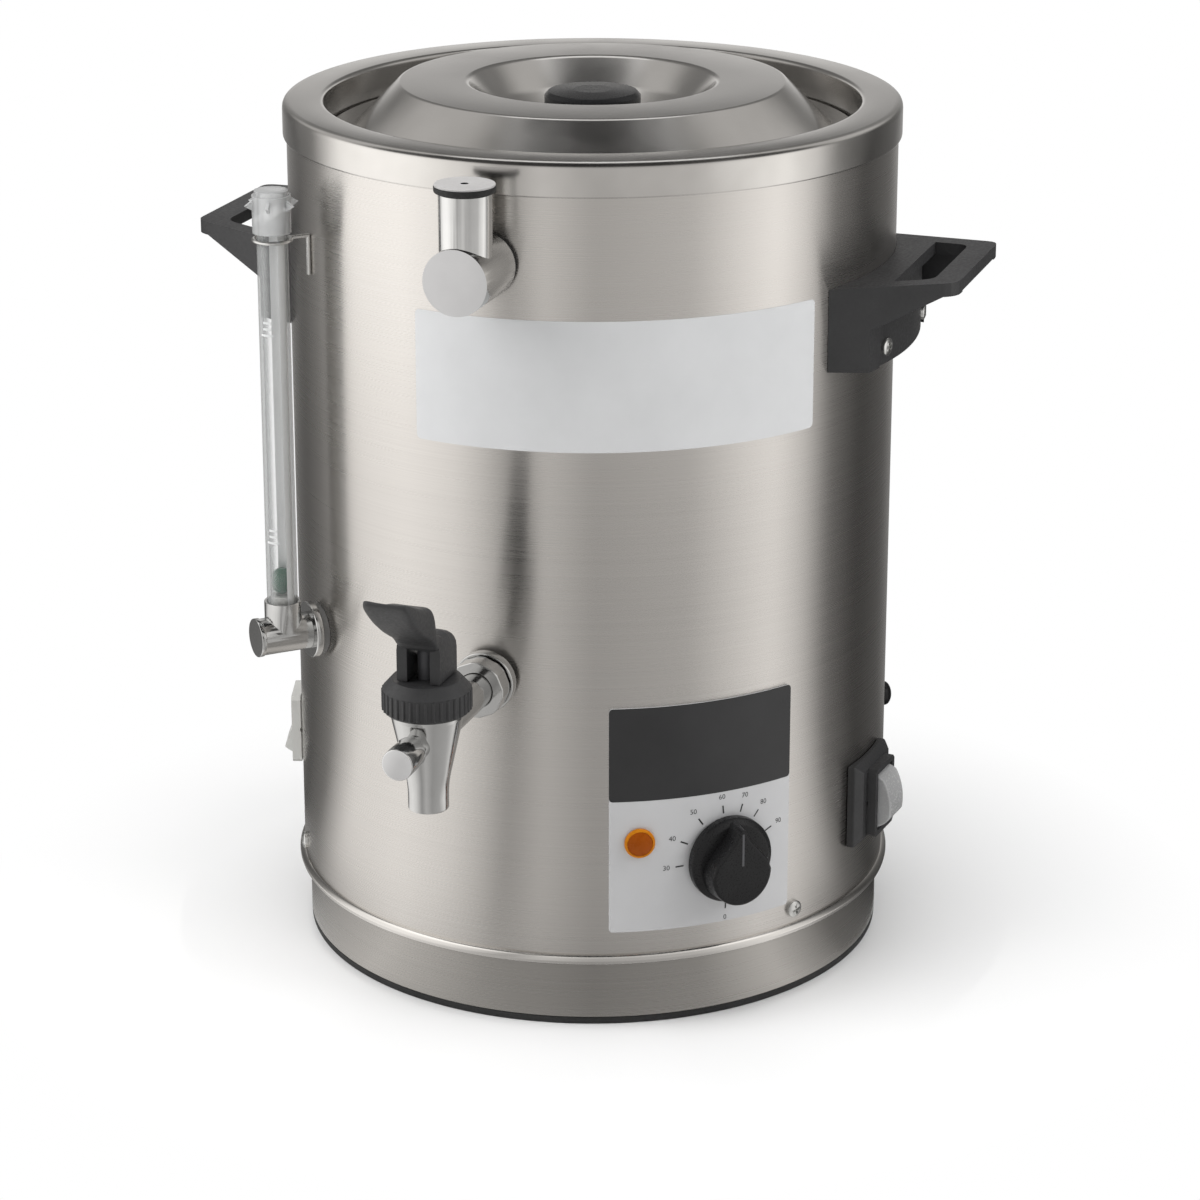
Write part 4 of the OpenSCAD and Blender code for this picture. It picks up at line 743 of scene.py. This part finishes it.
def build_lamp():
    """Amber lamp: a low domed lens in a brighter edge."""
    place = facing(LAMP_ANGLE, PANEL_R + 0.1, LAMP_Z)
    inner = LAMP_R - 1.1
    edge = lathe(filleted([(inner, 0), (LAMP_R, 0, 0.2), (LAMP_R, 1.2, 0.6), (inner, 2.0, 0.5)], 0.1), 96)
    make("lamp_edge", outwards(edge), AMBER_EDGE, place=place)
    dome_c = -6.0
    edge_up = 7.6
    dome = arc((0, dome_c), math.hypot(inner, edge_up), math.degrees(math.atan2(edge_up, inner)), 90, 10)
    lens = lathe([(0, 0), (inner, 0)] + dome[:-1] + [(0, dome[-1][1])], 96)
    stands_for(make("lamp_dome", outwards(lens), AMBER, place=place), "amber", "lamp_lens")


# Main switch

ROCKER_R = 12.4
ROCKER_HALF = 8.0
ROCKER_BACK = 3.0
ROCKER_END = 9.0
ROCKER_CROWN = 10.4
ROCKER_REST = 10.0
ROCKER_PIN_R = 1.6
ROCKER_PIN = 1.0
ROCKER_REACH = SHELL_R + 3.8


def build_main_rocker():
    """Convex rocker on its two pins, tilted so that its lower end stands out."""
    end_z = math.sqrt(ROCKER_R ** 2 - ROCKER_END ** 2)
    back_z = math.sqrt(ROCKER_R ** 2 - ROCKER_BACK ** 2)
    rise = ROCKER_CROWN - ROCKER_END
    crown_r = (end_z ** 2 + rise ** 2) / (2 * rise)
    spread = math.degrees(math.asin(end_z / crown_r))
    face = arc((ROCKER_CROWN - crown_r, 0), crown_r, -spread, spread, 24)
    end_angle = math.degrees(math.atan2(end_z, ROCKER_END))
    back_angle = math.degrees(math.atan2(back_z, -ROCKER_BACK))
    upper = arc((0, 0), ROCKER_R, end_angle, back_angle, 6)[1:]
    outline = face + upper + [(x, -z) for x, z in reversed(upper)]
    pin_half = ROCKER_HALF + ROCKER_PIN
    pins = prism(arc((0, 0), ROCKER_PIN_R, 0, 345, 23), -pin_half, pin_half)
    blank = joined(prism(outline, -ROCKER_HALF, ROCKER_HALF), pins)
    tilt = Matrix.Rotation(math.radians(-ROCKER_REST), 4, "Y")
    place = facing(SWITCH_ANGLE, ROCKER_REACH, SWITCH_Z) @ tilt
    piece = make("rocker_cap", sideways(blank), GREY, "main_switch", place, sharp=40.0)
    soften(piece, 0.8, 3, 40.0)
    stands_for(piece, "grey_plastic", "main_rocker")


# Screws and handles

SCREW_R = 3.6
SCREW_H = 2.2
CROSS_ARM = 1.95
CROSS_HALF = 0.48
CROSS_DEPTH = 1.1
BASE_SCREW_Z = 38.5
HANDLE_SCREW_Z = 271.0
HANDLE_SCREW_REACH = 136.0
HANDLE_SCREW_SPREAD = 12.3
SCREW_TURN = 1.7


def cross_radius(angle):
    """Edge of a cross-shaped recess at an angle round its middle."""
    off = abs((angle + math.pi / 4) % (math.pi / 2) - math.pi / 4)
    if off < math.atan2(CROSS_HALF, CROSS_ARM):
        return CROSS_ARM / math.cos(off)
    return CROSS_HALF / math.sin(off)


def screw_head():
    """Pan head with a cross recess, its underside at zero."""
    side = SCREW_H / 2
    profile = [(0, SCREW_H - CROSS_DEPTH), (CROSS_ARM * 0.8, SCREW_H - CROSS_DEPTH * 0.9),
               (CROSS_ARM, SCREW_H - 0.06)]
    slopes = [math.radians(d) for d in range(50, 0, -8)]
    dome = [(SCREW_R * math.cos(t), side + side * math.sin(t)) for t in slopes]
    profile += dome + [(SCREW_R, side * 0.9), (SCREW_R, 0), (0, 0)]

    def recess(angle, radius, _):
        inside = radius <= CROSS_ARM
        return cross_radius(angle) * radius / CROSS_ARM if inside else radius

    return lathe(profile, 96, recess)


def build_screws():
    """Screws above the base bead and in the handles' blocks."""
    places = [(a, SHELL_R, BASE_SCREW_Z) for a in (60, -60, 180)]
    for side in (-90, 90):
        for s in (-1, 1):
            places.append((side + s * HANDLE_SCREW_SPREAD, HANDLE_SCREW_REACH, HANDLE_SCREW_Z))
    heads = []
    for angle, reach, z in places:
        turn = Matrix.Rotation(math.radians(angle * SCREW_TURN), 4, "X")
        spot = aimed(angle) @ Matrix.Translation((reach, 0, z)) @ turn
        heads.append(moved(outwards(screw_head()), spot))
    stands_for(make("cross_screws", joined(*heads), BRIGHT, sharp=25.0), "screw_steel", "case_screws")


HANDLE_EDGE = 1.3
CHEEK_X = 136.5
CHEEK_TOP = 17.0
CHEEK_ZONE = 1.8
CHEEK_INNER_Y = 35.0
CHEEK_FILLET = 2.0
CHEEK_T = 8.0
CHEEK_TAPER = 0.304
CHEEK_CUTS = (4.0, 6.0)


def build_handles():
    """Handles with rounded edges. Their cheeks end near the face of the block, so the screws show."""
    for cad_name, name, angle in (("left_handle", "left_grip", -90), ("right_handle", "right_grip", 90)):
        round_edges(cad_name, HANDLE_EDGE)
        rounded = nodes[cad_name].evaluated_get(bpy.context.evaluated_depsgraph_get())
        mesh = bpy.data.meshes.new_from_object(rounded)
        foot = levels_of(cad_name)[0]
        turn = aimed(angle)
        for vert in mesh.vertices:
            x, y, z = turn.inverted() @ vert.co / MM
            on_side = abs(y) > CHEEK_INNER_Y - CHEEK_FILLET
            if on_side and x > CHEEK_X - CHEEK_ZONE and z < foot + CHEEK_TOP + CHEEK_ZONE:
                share = min(max((abs(y) - CHEEK_INNER_Y) / CHEEK_T, 0.0), 1.0)
                cut = CHEEK_CUTS[0] + (CHEEK_CUTS[1] - CHEEK_CUTS[0]) * share
                vert.co = turn @ Vector((x - cut, y + math.copysign(cut * CHEEK_TAPER, y), z)) * MM
        piece = shown(name, mesh)
        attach(piece, "housing")
        stands_for(piece, "black_plastic", cad_name)


# Level gauge

GAUGE_REACH = SHELL_R + 16.0
GLASS_R = 6.3
GLASS_WALL = 1.0
LEVEL_MARKS = (187.0, 274.0)
# Each line of a mark: its height above the lowest line, and half its angle round the glass
MARK_LINES = ((0.0, 26.0), (2.6, 16.0), (5.2, 16.0))
MARK_ANGLE = 130.0
MARK_H = 0.9
STRIPE_FROM = 0.1


def build_level_marks():
    """White level marks on the glass."""
    lines = []
    for z in LEVEL_MARKS:
        for step, half in MARK_LINES:
            angles = (MARK_ANGLE - half, MARK_ANGLE + half)
            heights = (z + step, z + step + MARK_H)
            lines.append(curved_sheet(angles, heights, (GLASS_R + 0.02, GLASS_R + 0.1), 0.1, 8))
    make("level_marks", joined(*lines), WHITE_PRINT, place=facing(GAUGE_ANGLE, GAUGE_REACH))


# Tap

PIVOT_Z = COLLAR_TOP + 10.0
FORK_HALF = 8.75
FORK_SLOT_HALF = 4.6
FORK_BACK = 9.0
FORK_FRONT = 8.2
FORK_ROOF = 5.4
FORK_TOP = 8.4
FORK_BEND = -3.0
WEB_T = 1.6
WEB_FOOT = -8.0
WEB_IN = 0.5
# Stations of the paddle from fork to tip: front (x, z), back (x, z), half width, hollow of the back
PADDLE = [
    (7.6, 3.0, 1.0, 7.6, 8.2, 0.0), (9.6, 4.6, 7.0, 10.2, 8.4, 0.0), (11.1, 6.6, 11.2, 13.4, 8.7, 0.0),
    (13.0, 8.0, 12.8, 20.0, 9.0, 0.1), (15.2, 9.6, 15.0, 23.6, 9.2, 0.3), (18.6, 11.6, 19.0, 25.2, 9.2, 0.6),
    (23.8, 14.9, 24.0, 26.8, 9.2, 1.0), (30.8, 20.2, 30.2, 29.6, 9.2, 1.4),
    (35.6, 24.8, 35.0, 31.6, 9.2, 1.4), (38.8, 28.4, 38.2, 32.7, 9.0, 1.0),
    (40.4, 30.6, 40.0, 33.0, 8.0, 0.5), (40.9, 31.6, 40.8, 32.6, 6.4, 0.0),
]
PADDLE_SIDES = 0.3
PADDLE_FACES = 0.55
FRONT_FACING = -0.98
END_DEPTH = 0.5


def build_tap_casting():
    """Chrome tap: a hollow cone over a straight spout, the shank to the shell and the boss of the plug."""
    spout_r = 7.8
    bore_r = 5.2
    top_r = 13.8
    neck_r = 12.8
    chamber_r = 10.8
    shank_r = 7.0
    boss_r = 5.2
    plug_from = -box_mm("tap_plug")[1].y - TAP_REACH
    boss_to = plug_from + 6.0
    union_x = SHELL_R + 9.2
    low = SPOUT_Z
    axis_z = low + 29.0
    floor_z = axis_z - 1.0
    top = CASTING_TOP
    cone = lathe(filleted([(bore_r, low, 0.4), (spout_r, low, 0.8), (spout_r, low + 10, 45.0),
                           (top_r, COLLAR_Z - 2.2, 0.8), (top_r, COLLAR_Z - 0.8, 0.4),
                           (neck_r, COLLAR_Z, 0.3), (neck_r, top, 0.3), (chamber_r, top, 0.3),
                           (chamber_r, floor_z, 0.5), (bore_r, floor_z, 0.5)], 0.3), 128)
    to_tap = Matrix.Translation((TAP_REACH, 0, 0))
    at_axis = Matrix.Translation((0, 0, axis_z))
    overlap = 9.0
    inner = TAP_REACH - overlap
    shank = outwards(lathe([(0, union_x), (shank_r, union_x), (shank_r, inner), (0, inner)], 64))
    boss = outwards(lathe([(0, overlap), (boss_r, overlap), (boss_r, boss_to), (0, boss_to)], 64))
    shape = joined(moved(cone, to_tap), moved(shank, at_axis), moved(boss, at_axis @ to_tap))
    stands_for(make("tap_casting", shape, CHROME, place=facing(0), sharp=35.0), "chrome", "tap_body")


def build_filler_lid():
    """Disc cap of the filler with its vent hole, on a black sealing ring."""
    low, high = box_mm("filler_cap")
    seal_low = levels_of("filler_seal")[0]
    centre = (low + high) / 2
    reach = -centre.y
    disc_r = (high.x - low.x) / 2
    plug_r = disc_r - 3.4
    plate = 0.8
    vent_r = 1.5
    place = facing(0, reach)
    under = high.z - plate
    edge_r = disc_r - 0.2
    cap = lathe(filleted([(vent_r, low.z, 0), (plug_r, low.z, 0.6), (plug_r, under, 0), (edge_r, under, 0.2),
                          (edge_r, high.z, 0.5), (vent_r, high.z, 0.2)], 0.1), 128)
    disc = make("filler_disc", cap, CAP, "filler_lid", place)

    # The vent hole's faces take the black rubber as painted shade in the hole.
    def vent_shade_faces(face):
        return (face.center - place.translation).to_2d().length < (vent_r + 0.05) * MM

    second_finish(disc.data, RUBBER_AND_VENT_SHADE, vent_shade_faces)
    stands_for(disc, "chrome", "filler_cap")
    ring = lathe(filleted([(plug_r, seal_low, 0.2), (disc_r - 0.1, seal_low, 0.9), (disc_r, under, 0.3),
                           (plug_r, under, 0.2)], 0.2), 128)
    seal = make("filler_ring", ring, RUBBER_AND_VENT_SHADE, "filler_lid", place)
    stands_for(seal, "rubber", "filler_seal")


def build_glass_back():
    """Milky stripe on the bore of the gauge's glass, towards the shell, against which the float shows; its
    pale colour is painted light against the shade inside the tube.
    """
    low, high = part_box("gauge_glass")
    middle = (low + high) / 2
    inwards = -middle.to_2d().normalized()
    bore = (GLASS_R - GLASS_WALL) * MM

    def on_stripe(face):
        offset = (face.center - middle).to_2d()
        return offset.length < bore and offset.dot(inwards) > STRIPE_FROM * bore

    second_finish(nodes["gauge_glass"].data, MILK_GLASS_PAINTED_LIGHT, on_stripe)


def paint_end_highlights():
    """Paler satin end faces of the plug and of the filler's barrel, which look to the front: painted
    highlights.
    """
    for name, finish in (("tap_plug", PALE_END_PAINTED_HIGHLIGHT), ("filler_elbow", SATIN_END_PAINTED_HIGHLIGHT)):
        limit = (box_mm(name)[0].y + END_DEPTH) * MM

        def at_end(face, limit=limit):
            return face.normal.y < FRONT_FACING and face.center.y < limit

        # The front-facing end faces take the paler chrome, a painted highlight.
        second_finish(nodes[name].data, finish, at_end)


def signed_power(value, power):
    """A power that keeps the sign of its value."""
    return math.copysign(abs(value) ** power, value)


def paddle_section(front_x, front_z, back_x, back_z, half, hollow):
    """Rounded section of the paddle between its front and its back, hollowed along the back."""
    points = []
    steps = 40
    front = Vector((front_x, 0, front_z))
    back = Vector((back_x, 0, back_z))
    for s in range(steps):
        a = 2 * math.pi * s / steps
        across = signed_power(math.cos(a), PADDLE_SIDES)
        depth = signed_power(math.sin(a), PADDLE_FACES)
        point = front.lerp(back, (1 + depth) / 2)
        sink = hollow * (1 - across ** 2) * (1 + depth) / 2
        points.append((point.x, half * across, point.z - sink))
    return points


def fork_outline(top):
    """Front view of the fork up to a height: two cheeks, a roof over the slot and round shoulders."""
    foot = 0.3 - (PIVOT_Z - COLLAR_TOP)
    shoulder = 6.0
    half = [(FORK_SLOT_HALF, FORK_ROOF, 0.4), (FORK_SLOT_HALF, foot, 0.5), (FORK_HALF, foot, 0.8),
            (FORK_HALF, top, shoulder)]
    other = [(-y, z, r) for y, z, r in reversed(half)]
    return filleted(half + other, 0.4)


def build_lever():
    """Black lever: a fork on the pin with round shoulders and a web, and a paddle that thins to its tip."""
    place = facing(0, TAP_REACH, PIVOT_Z)
    full = fork_outline(FORK_TOP)
    front = outwards(prism(full, FORK_BEND, FORK_FRONT))
    back = outwards(prism(fork_outline(FORK_ROOF + 0.8), -FORK_BACK, FORK_BEND, full))
    half = FORK_SLOT_HALF + WEB_IN
    web_outline = [(-half, WEB_FOOT), (half, WEB_FOOT), (half, FORK_ROOF), (-half, FORK_ROOF)]
    web = outwards(prism(web_outline, WEB_IN - FORK_BACK, WEB_IN - FORK_BACK + WEB_T))
    fork = make("lever_fork", joined(front, back, web), BLACK, "tap_handle", place, sharp=40.0)
    sections = [paddle_section(*station) for station in smooth_row(PADDLE)]
    piece = make("lever_paddle", loft(sections), BLACK, "tap_handle", place, sharp=60.0)
    stands_for(piece, "black_plastic", "tap_lever")


# Edges of the CAD pieces that stay, in millimetres

EDGE_WIDTHS = {
    "tap_collar": 0.25, "tap_plug": 0.5, "tap_union_nut": 0.5, "tap_locknut": 0.5, "gauge_elbow": 0.5,
    "gauge_nut": 0.5, "gauge_cap": 0.3, "filler_elbow": 0.6, "switch_frame": 1.0, "switch_housing": 0.5,
    "mixer_switch_housing": 0.5, "mixer_rocker": 0.5, "reset_button": 0.3, "cable_gland": 0.6,
    "stirrer": 0.6, "insert_disc": 0.25, "tap_stem": 0.2, "tap_seat_cup": 0.3,
}

build_sticker()
build_panel()
build_scale()
build_dial()
build_lamp()
build_main_rocker()
build_screws()
build_handles()
build_level_marks()
build_glass_back()
build_tap_casting()
build_lever()
build_filler_lid()
paint_end_highlights()
for edged, edge_width in EDGE_WIDTHS.items():
    round_edges(edged, edge_width)
build_shell()
build_rim()
build_base()
build_foot()
build_lid()
build_lid_knob()


# Studio

FLOOR_R = 60.0
FLOOR_FADE = (0.13, 0.27)
CIRCLE = 128


def build_floor():
    """Pale floor that keeps the object's shadow and fades to white away from it."""
    mesh = bpy.data.meshes.new("floor")
    disc = bmesh.new()
    bmesh.ops.create_circle(disc, cap_ends=True, segments=CIRCLE, radius=FLOOR_R)
    disc.to_mesh(mesh)
    disc.free()
    floor = shown("floor", mesh)
    material, tree, shader = new_material("pale_floor")
    feed(shader, Base_Color=(0.86, 0.86, 0.86, 1), Roughness=0.28, Specular_IOR_Level=0.4)
    white = node(tree, "Emission")
    place = node(tree, "TexCoord")
    length = node(tree, "VectorMath", operation="LENGTH")
    plug(length.inputs[0], place.outputs["Object"])
    far = between(tree, length.outputs["Value"], 0.0, 1.0, *FLOOR_FADE)
    rays = node(tree, "LightPath").outputs
    mix = node(tree, "MixShader")
    feed(mix, Fac=maths(tree, "MULTIPLY", far, rays["Is Camera Ray"]))
    plug(mix.inputs[1], shader.outputs["BSDF"])
    plug(mix.inputs[2], white.outputs["Emission"])
    feed(tree.nodes["Material Output"], Surface=mix.outputs["Shader"])
    mesh.materials.append(material)


# Brightness of the studio's screens by direction, in degrees from the camera's own direction
SIDE_SCREENS = [(-180, 0.6), (-158, 0.6), (-140, 0.2), (-122, 0.1), (-104, 0.22), (-86, 1.1), (-62, 1.2),
                (-44, 1.0), (-34, 0.72), (-26, 0.42), (-15, 0.66), (0, 0.46), (30, 0.56), (46, 0.85),
                (60, 1.08), (72, 0.8), (84, 0.2), (102, 0.06), (128, 0.12), (146, 0.3), (160, 0.6),
                (180, 0.6)]
UPPER_SCREENS = [(-180, 0.12), (-135, 0.2), (-118, 0.48), (-90, 0.48), (-74, 0.08), (0, 0.02), (74, 0.08),
                 (90, 0.48), (118, 0.48), (135, 0.2), (180, 0.12)]
# Brightness of the floor next to the base, as gloss shows it
APRON = [(-180, 0.5), (-96, 0.3), (-52, 1.0), (-25, 0.54), (0, 0.36), (25, 0.48), (43, 0.95),
         (64, 0.25), (96, 0.05), (180, 0.5)]
WARM = (1.0, 0.985, 0.965)
SCREEN_R = 0.34
APRON_R = (0.124, 0.18)
SCREEN_FOOT = 0.002
SCREEN_TOP = 1.0
SCREEN_SPLIT = (0.40, 0.47)
SCREEN_RISE = (0.12, 0.28)
SCREEN_GAIN = 1.4
CEILING_LEVELS = (1.25, 0.04)
CEILING_EDGE = (0.0, 0.14)
SOFT_LIGHT = 0.45
# Soft boxes: name, direction round the body, distance, height, size and power
LIGHTS = [("key_left", -50, 1.1, 1.1, 0.9, 14.0), ("fill_right", 95, 1.2, 0.9, 0.9, 9.0),
          ("top", 0, 0.01, 1.7, 1.2, 14.0)]
LIGHT_TARGET = 0.18
CAMERA_ANGLE = 19.05
CAMERA_REACH = 1.439
CAMERA_HEIGHT = 0.652
CAMERA_PITCH = 17.7
CAMERA_YAW = -0.12
CAMERA_LENS = 107.3
CAMERA_SHIFT = -0.1


def gloss_only(name, verts, faces, material):
    """Stage piece that lights nothing and that only gloss shows, turned to face the camera."""
    mesh = bpy.data.meshes.new(name)
    mesh.from_pydata(verts, [], faces)
    mesh.materials.append(material)
    screen = shown(name, mesh)
    screen.rotation_euler.z = math.radians(CAMERA_ANGLE)
    screen.visible_camera = False
    screen.visible_diffuse = False
    screen.visible_shadow = False
    screen.visible_transmission = False


def glowing(name):
    """A material that only glows, with its node tree and its shader."""
    material = bpy.data.materials.new(name)
    material.use_nodes = True
    tree = material.node_tree
    tree.nodes.clear()
    glow = node(tree, "Emission")
    feed(node(tree, "OutputMaterial"), Surface=glow.outputs["Emission"])
    return material, tree, glow


def screen_levels(tree, share, levels):
    """Warm grey that follows a list of directions and brightness levels."""
    ramp = node(tree, "ValToRGB")
    stops = ramp.color_ramp.elements
    while len(stops) < len(levels):
        stops.new(0.5)
    for stop, (degrees, level) in zip(stops, levels):
        stop.position = (degrees + 180) / 360
        stop.color = (*(level * part for part in WARM), 1)
    feed(ramp, Fac=share)
    return ramp.outputs["Color"]


def bands(*rows):
    """Vertices and faces of the bands between circles, each a radius and a height in metres."""
    circle = arc((0, 0), 1, 0, 360, CIRCLE)[:-1]
    verts = [(radius * x, radius * y, z) for radius, z in rows for x, y in circle]
    faces = []
    for row in range(len(rows) - 1):
        low = row * CIRCLE
        for s in range(CIRCLE):
            n = (s + 1) % CIRCLE
            faces.append([low + s, low + n, low + CIRCLE + n, low + CIRCLE + s])
    return verts, faces


def stage_place(tree):
    """Place of a shaded point on the stage: across, towards the camera and up, in metres."""
    place = node(tree, "TexCoord")
    split = node(tree, "SeparateXYZ")
    feed(split, Vector=place.outputs["Object"])
    return split.outputs["X"], maths(tree, "MULTIPLY", split.outputs["Y"], -1.0), split.outputs["Z"]


def turn_share(tree, across, towards):
    """Direction of a place as a share of a full turn that starts behind the object."""
    return between(tree, maths(tree, "ARCTAN2", across, towards), 0.0, 1.0, -math.pi, math.pi)


def build_wall():
    """Round wall of soft screens, folded inwards over the floor, with other screens above the object."""
    material, tree, glow = glowing("studio_screens")
    across, towards, height = stage_place(tree)
    share = turn_share(tree, across, towards)
    mix = node(tree, "Mix", data_type="RGBA")
    feed(mix, Factor=between(tree, height, 0.0, 1.0, *SCREEN_SPLIT),
         A=screen_levels(tree, share, SIDE_SCREENS), B=screen_levels(tree, share, UPPER_SCREENS))
    feed(glow, Color=mix.outputs["Result"], Strength=between(tree, height, 1.0, SCREEN_GAIN, *SCREEN_RISE))
    shape = bands((APRON_R[1], SCREEN_FOOT), (SCREEN_R, SCREEN_FOOT), (SCREEN_R, SCREEN_TOP))
    gloss_only("studio_wall", *shape, material)


def build_apron():
    """Flat ring round the base, which the base's steel mirrors."""
    material, tree, glow = glowing("studio_apron")
    across, towards, _ = stage_place(tree)
    feed(glow, Color=screen_levels(tree, turn_share(tree, across, towards), APRON))
    gloss_only("studio_apron", *bands((APRON_R[0], SCREEN_FOOT), (APRON_R[1], SCREEN_FOOT)), material)


def build_ceiling():
    """Ceiling over the screens: bright behind the object, dark towards the camera."""
    corners = [(-SCREEN_R, -SCREEN_R), (SCREEN_R, -SCREEN_R), (SCREEN_R, SCREEN_R), (-SCREEN_R, SCREEN_R)]
    material, tree, glow = glowing("studio_ceiling")
    towards = stage_place(tree)[1]
    feed(glow, Color=between(tree, towards, *CEILING_LEVELS, *CEILING_EDGE))
    gloss_only("studio_ceiling", [(x, y, SCREEN_TOP) for x, y in corners], [[0, 1, 2, 3]], material)


def build_world():
    """White surroundings for the camera and for gloss and glass, and even soft light for the rest."""
    world = bpy.data.worlds.new("studio")
    bpy.context.scene.world = world
    world.use_nodes = True
    tree = world.node_tree
    rays = node(tree, "LightPath").outputs
    seen = maths(tree, "MAXIMUM", rays["Is Camera Ray"], rays["Is Glossy Ray"])
    seen = maths(tree, "MAXIMUM", seen, rays["Is Transmission Ray"])
    strength = between(tree, seen, SOFT_LIGHT, 1.0, 0.0, 1.0)
    feed(tree.nodes["Background"], Color=(1, 1, 1, 1), Strength=strength)


def build_light(name, angle, reach, height, size, power):
    """Soft box that looks at the object's middle from a direction round the body."""
    light = bpy.data.lights.new(name, "AREA")
    light.size = size
    light.energy = power
    lamp = shown(name, light)
    lamp.location = facing(angle) @ Vector((reach, 0, height))
    lamp.rotation_euler = (Vector((0, 0, LIGHT_TARGET)) - lamp.location).to_track_quat("-Z", "Y").to_euler()
    lamp.visible_glossy = False


def build_camera():
    """Camera at the photograph's viewing angle."""
    data = bpy.data.cameras.new("camera")
    data.lens = CAMERA_LENS
    data.shift_y = CAMERA_SHIFT
    camera = shown("camera", data)
    camera.location = facing(CAMERA_ANGLE) @ Vector((CAMERA_REACH, 0, CAMERA_HEIGHT))
    ahead = facing(CAMERA_ANGLE + CAMERA_YAW) @ Vector((-1, 0, -math.tan(math.radians(CAMERA_PITCH))))
    camera.rotation_euler = ahead.to_track_quat("-Z", "Y").to_euler()
    bpy.context.scene.camera = camera


build_floor()
build_wall()
build_apron()
build_ceiling()
build_world()
for soft_box in LIGHTS:
    build_light(*soft_box)
build_camera()
bpy.context.scene.view_settings.view_transform = "Standard"
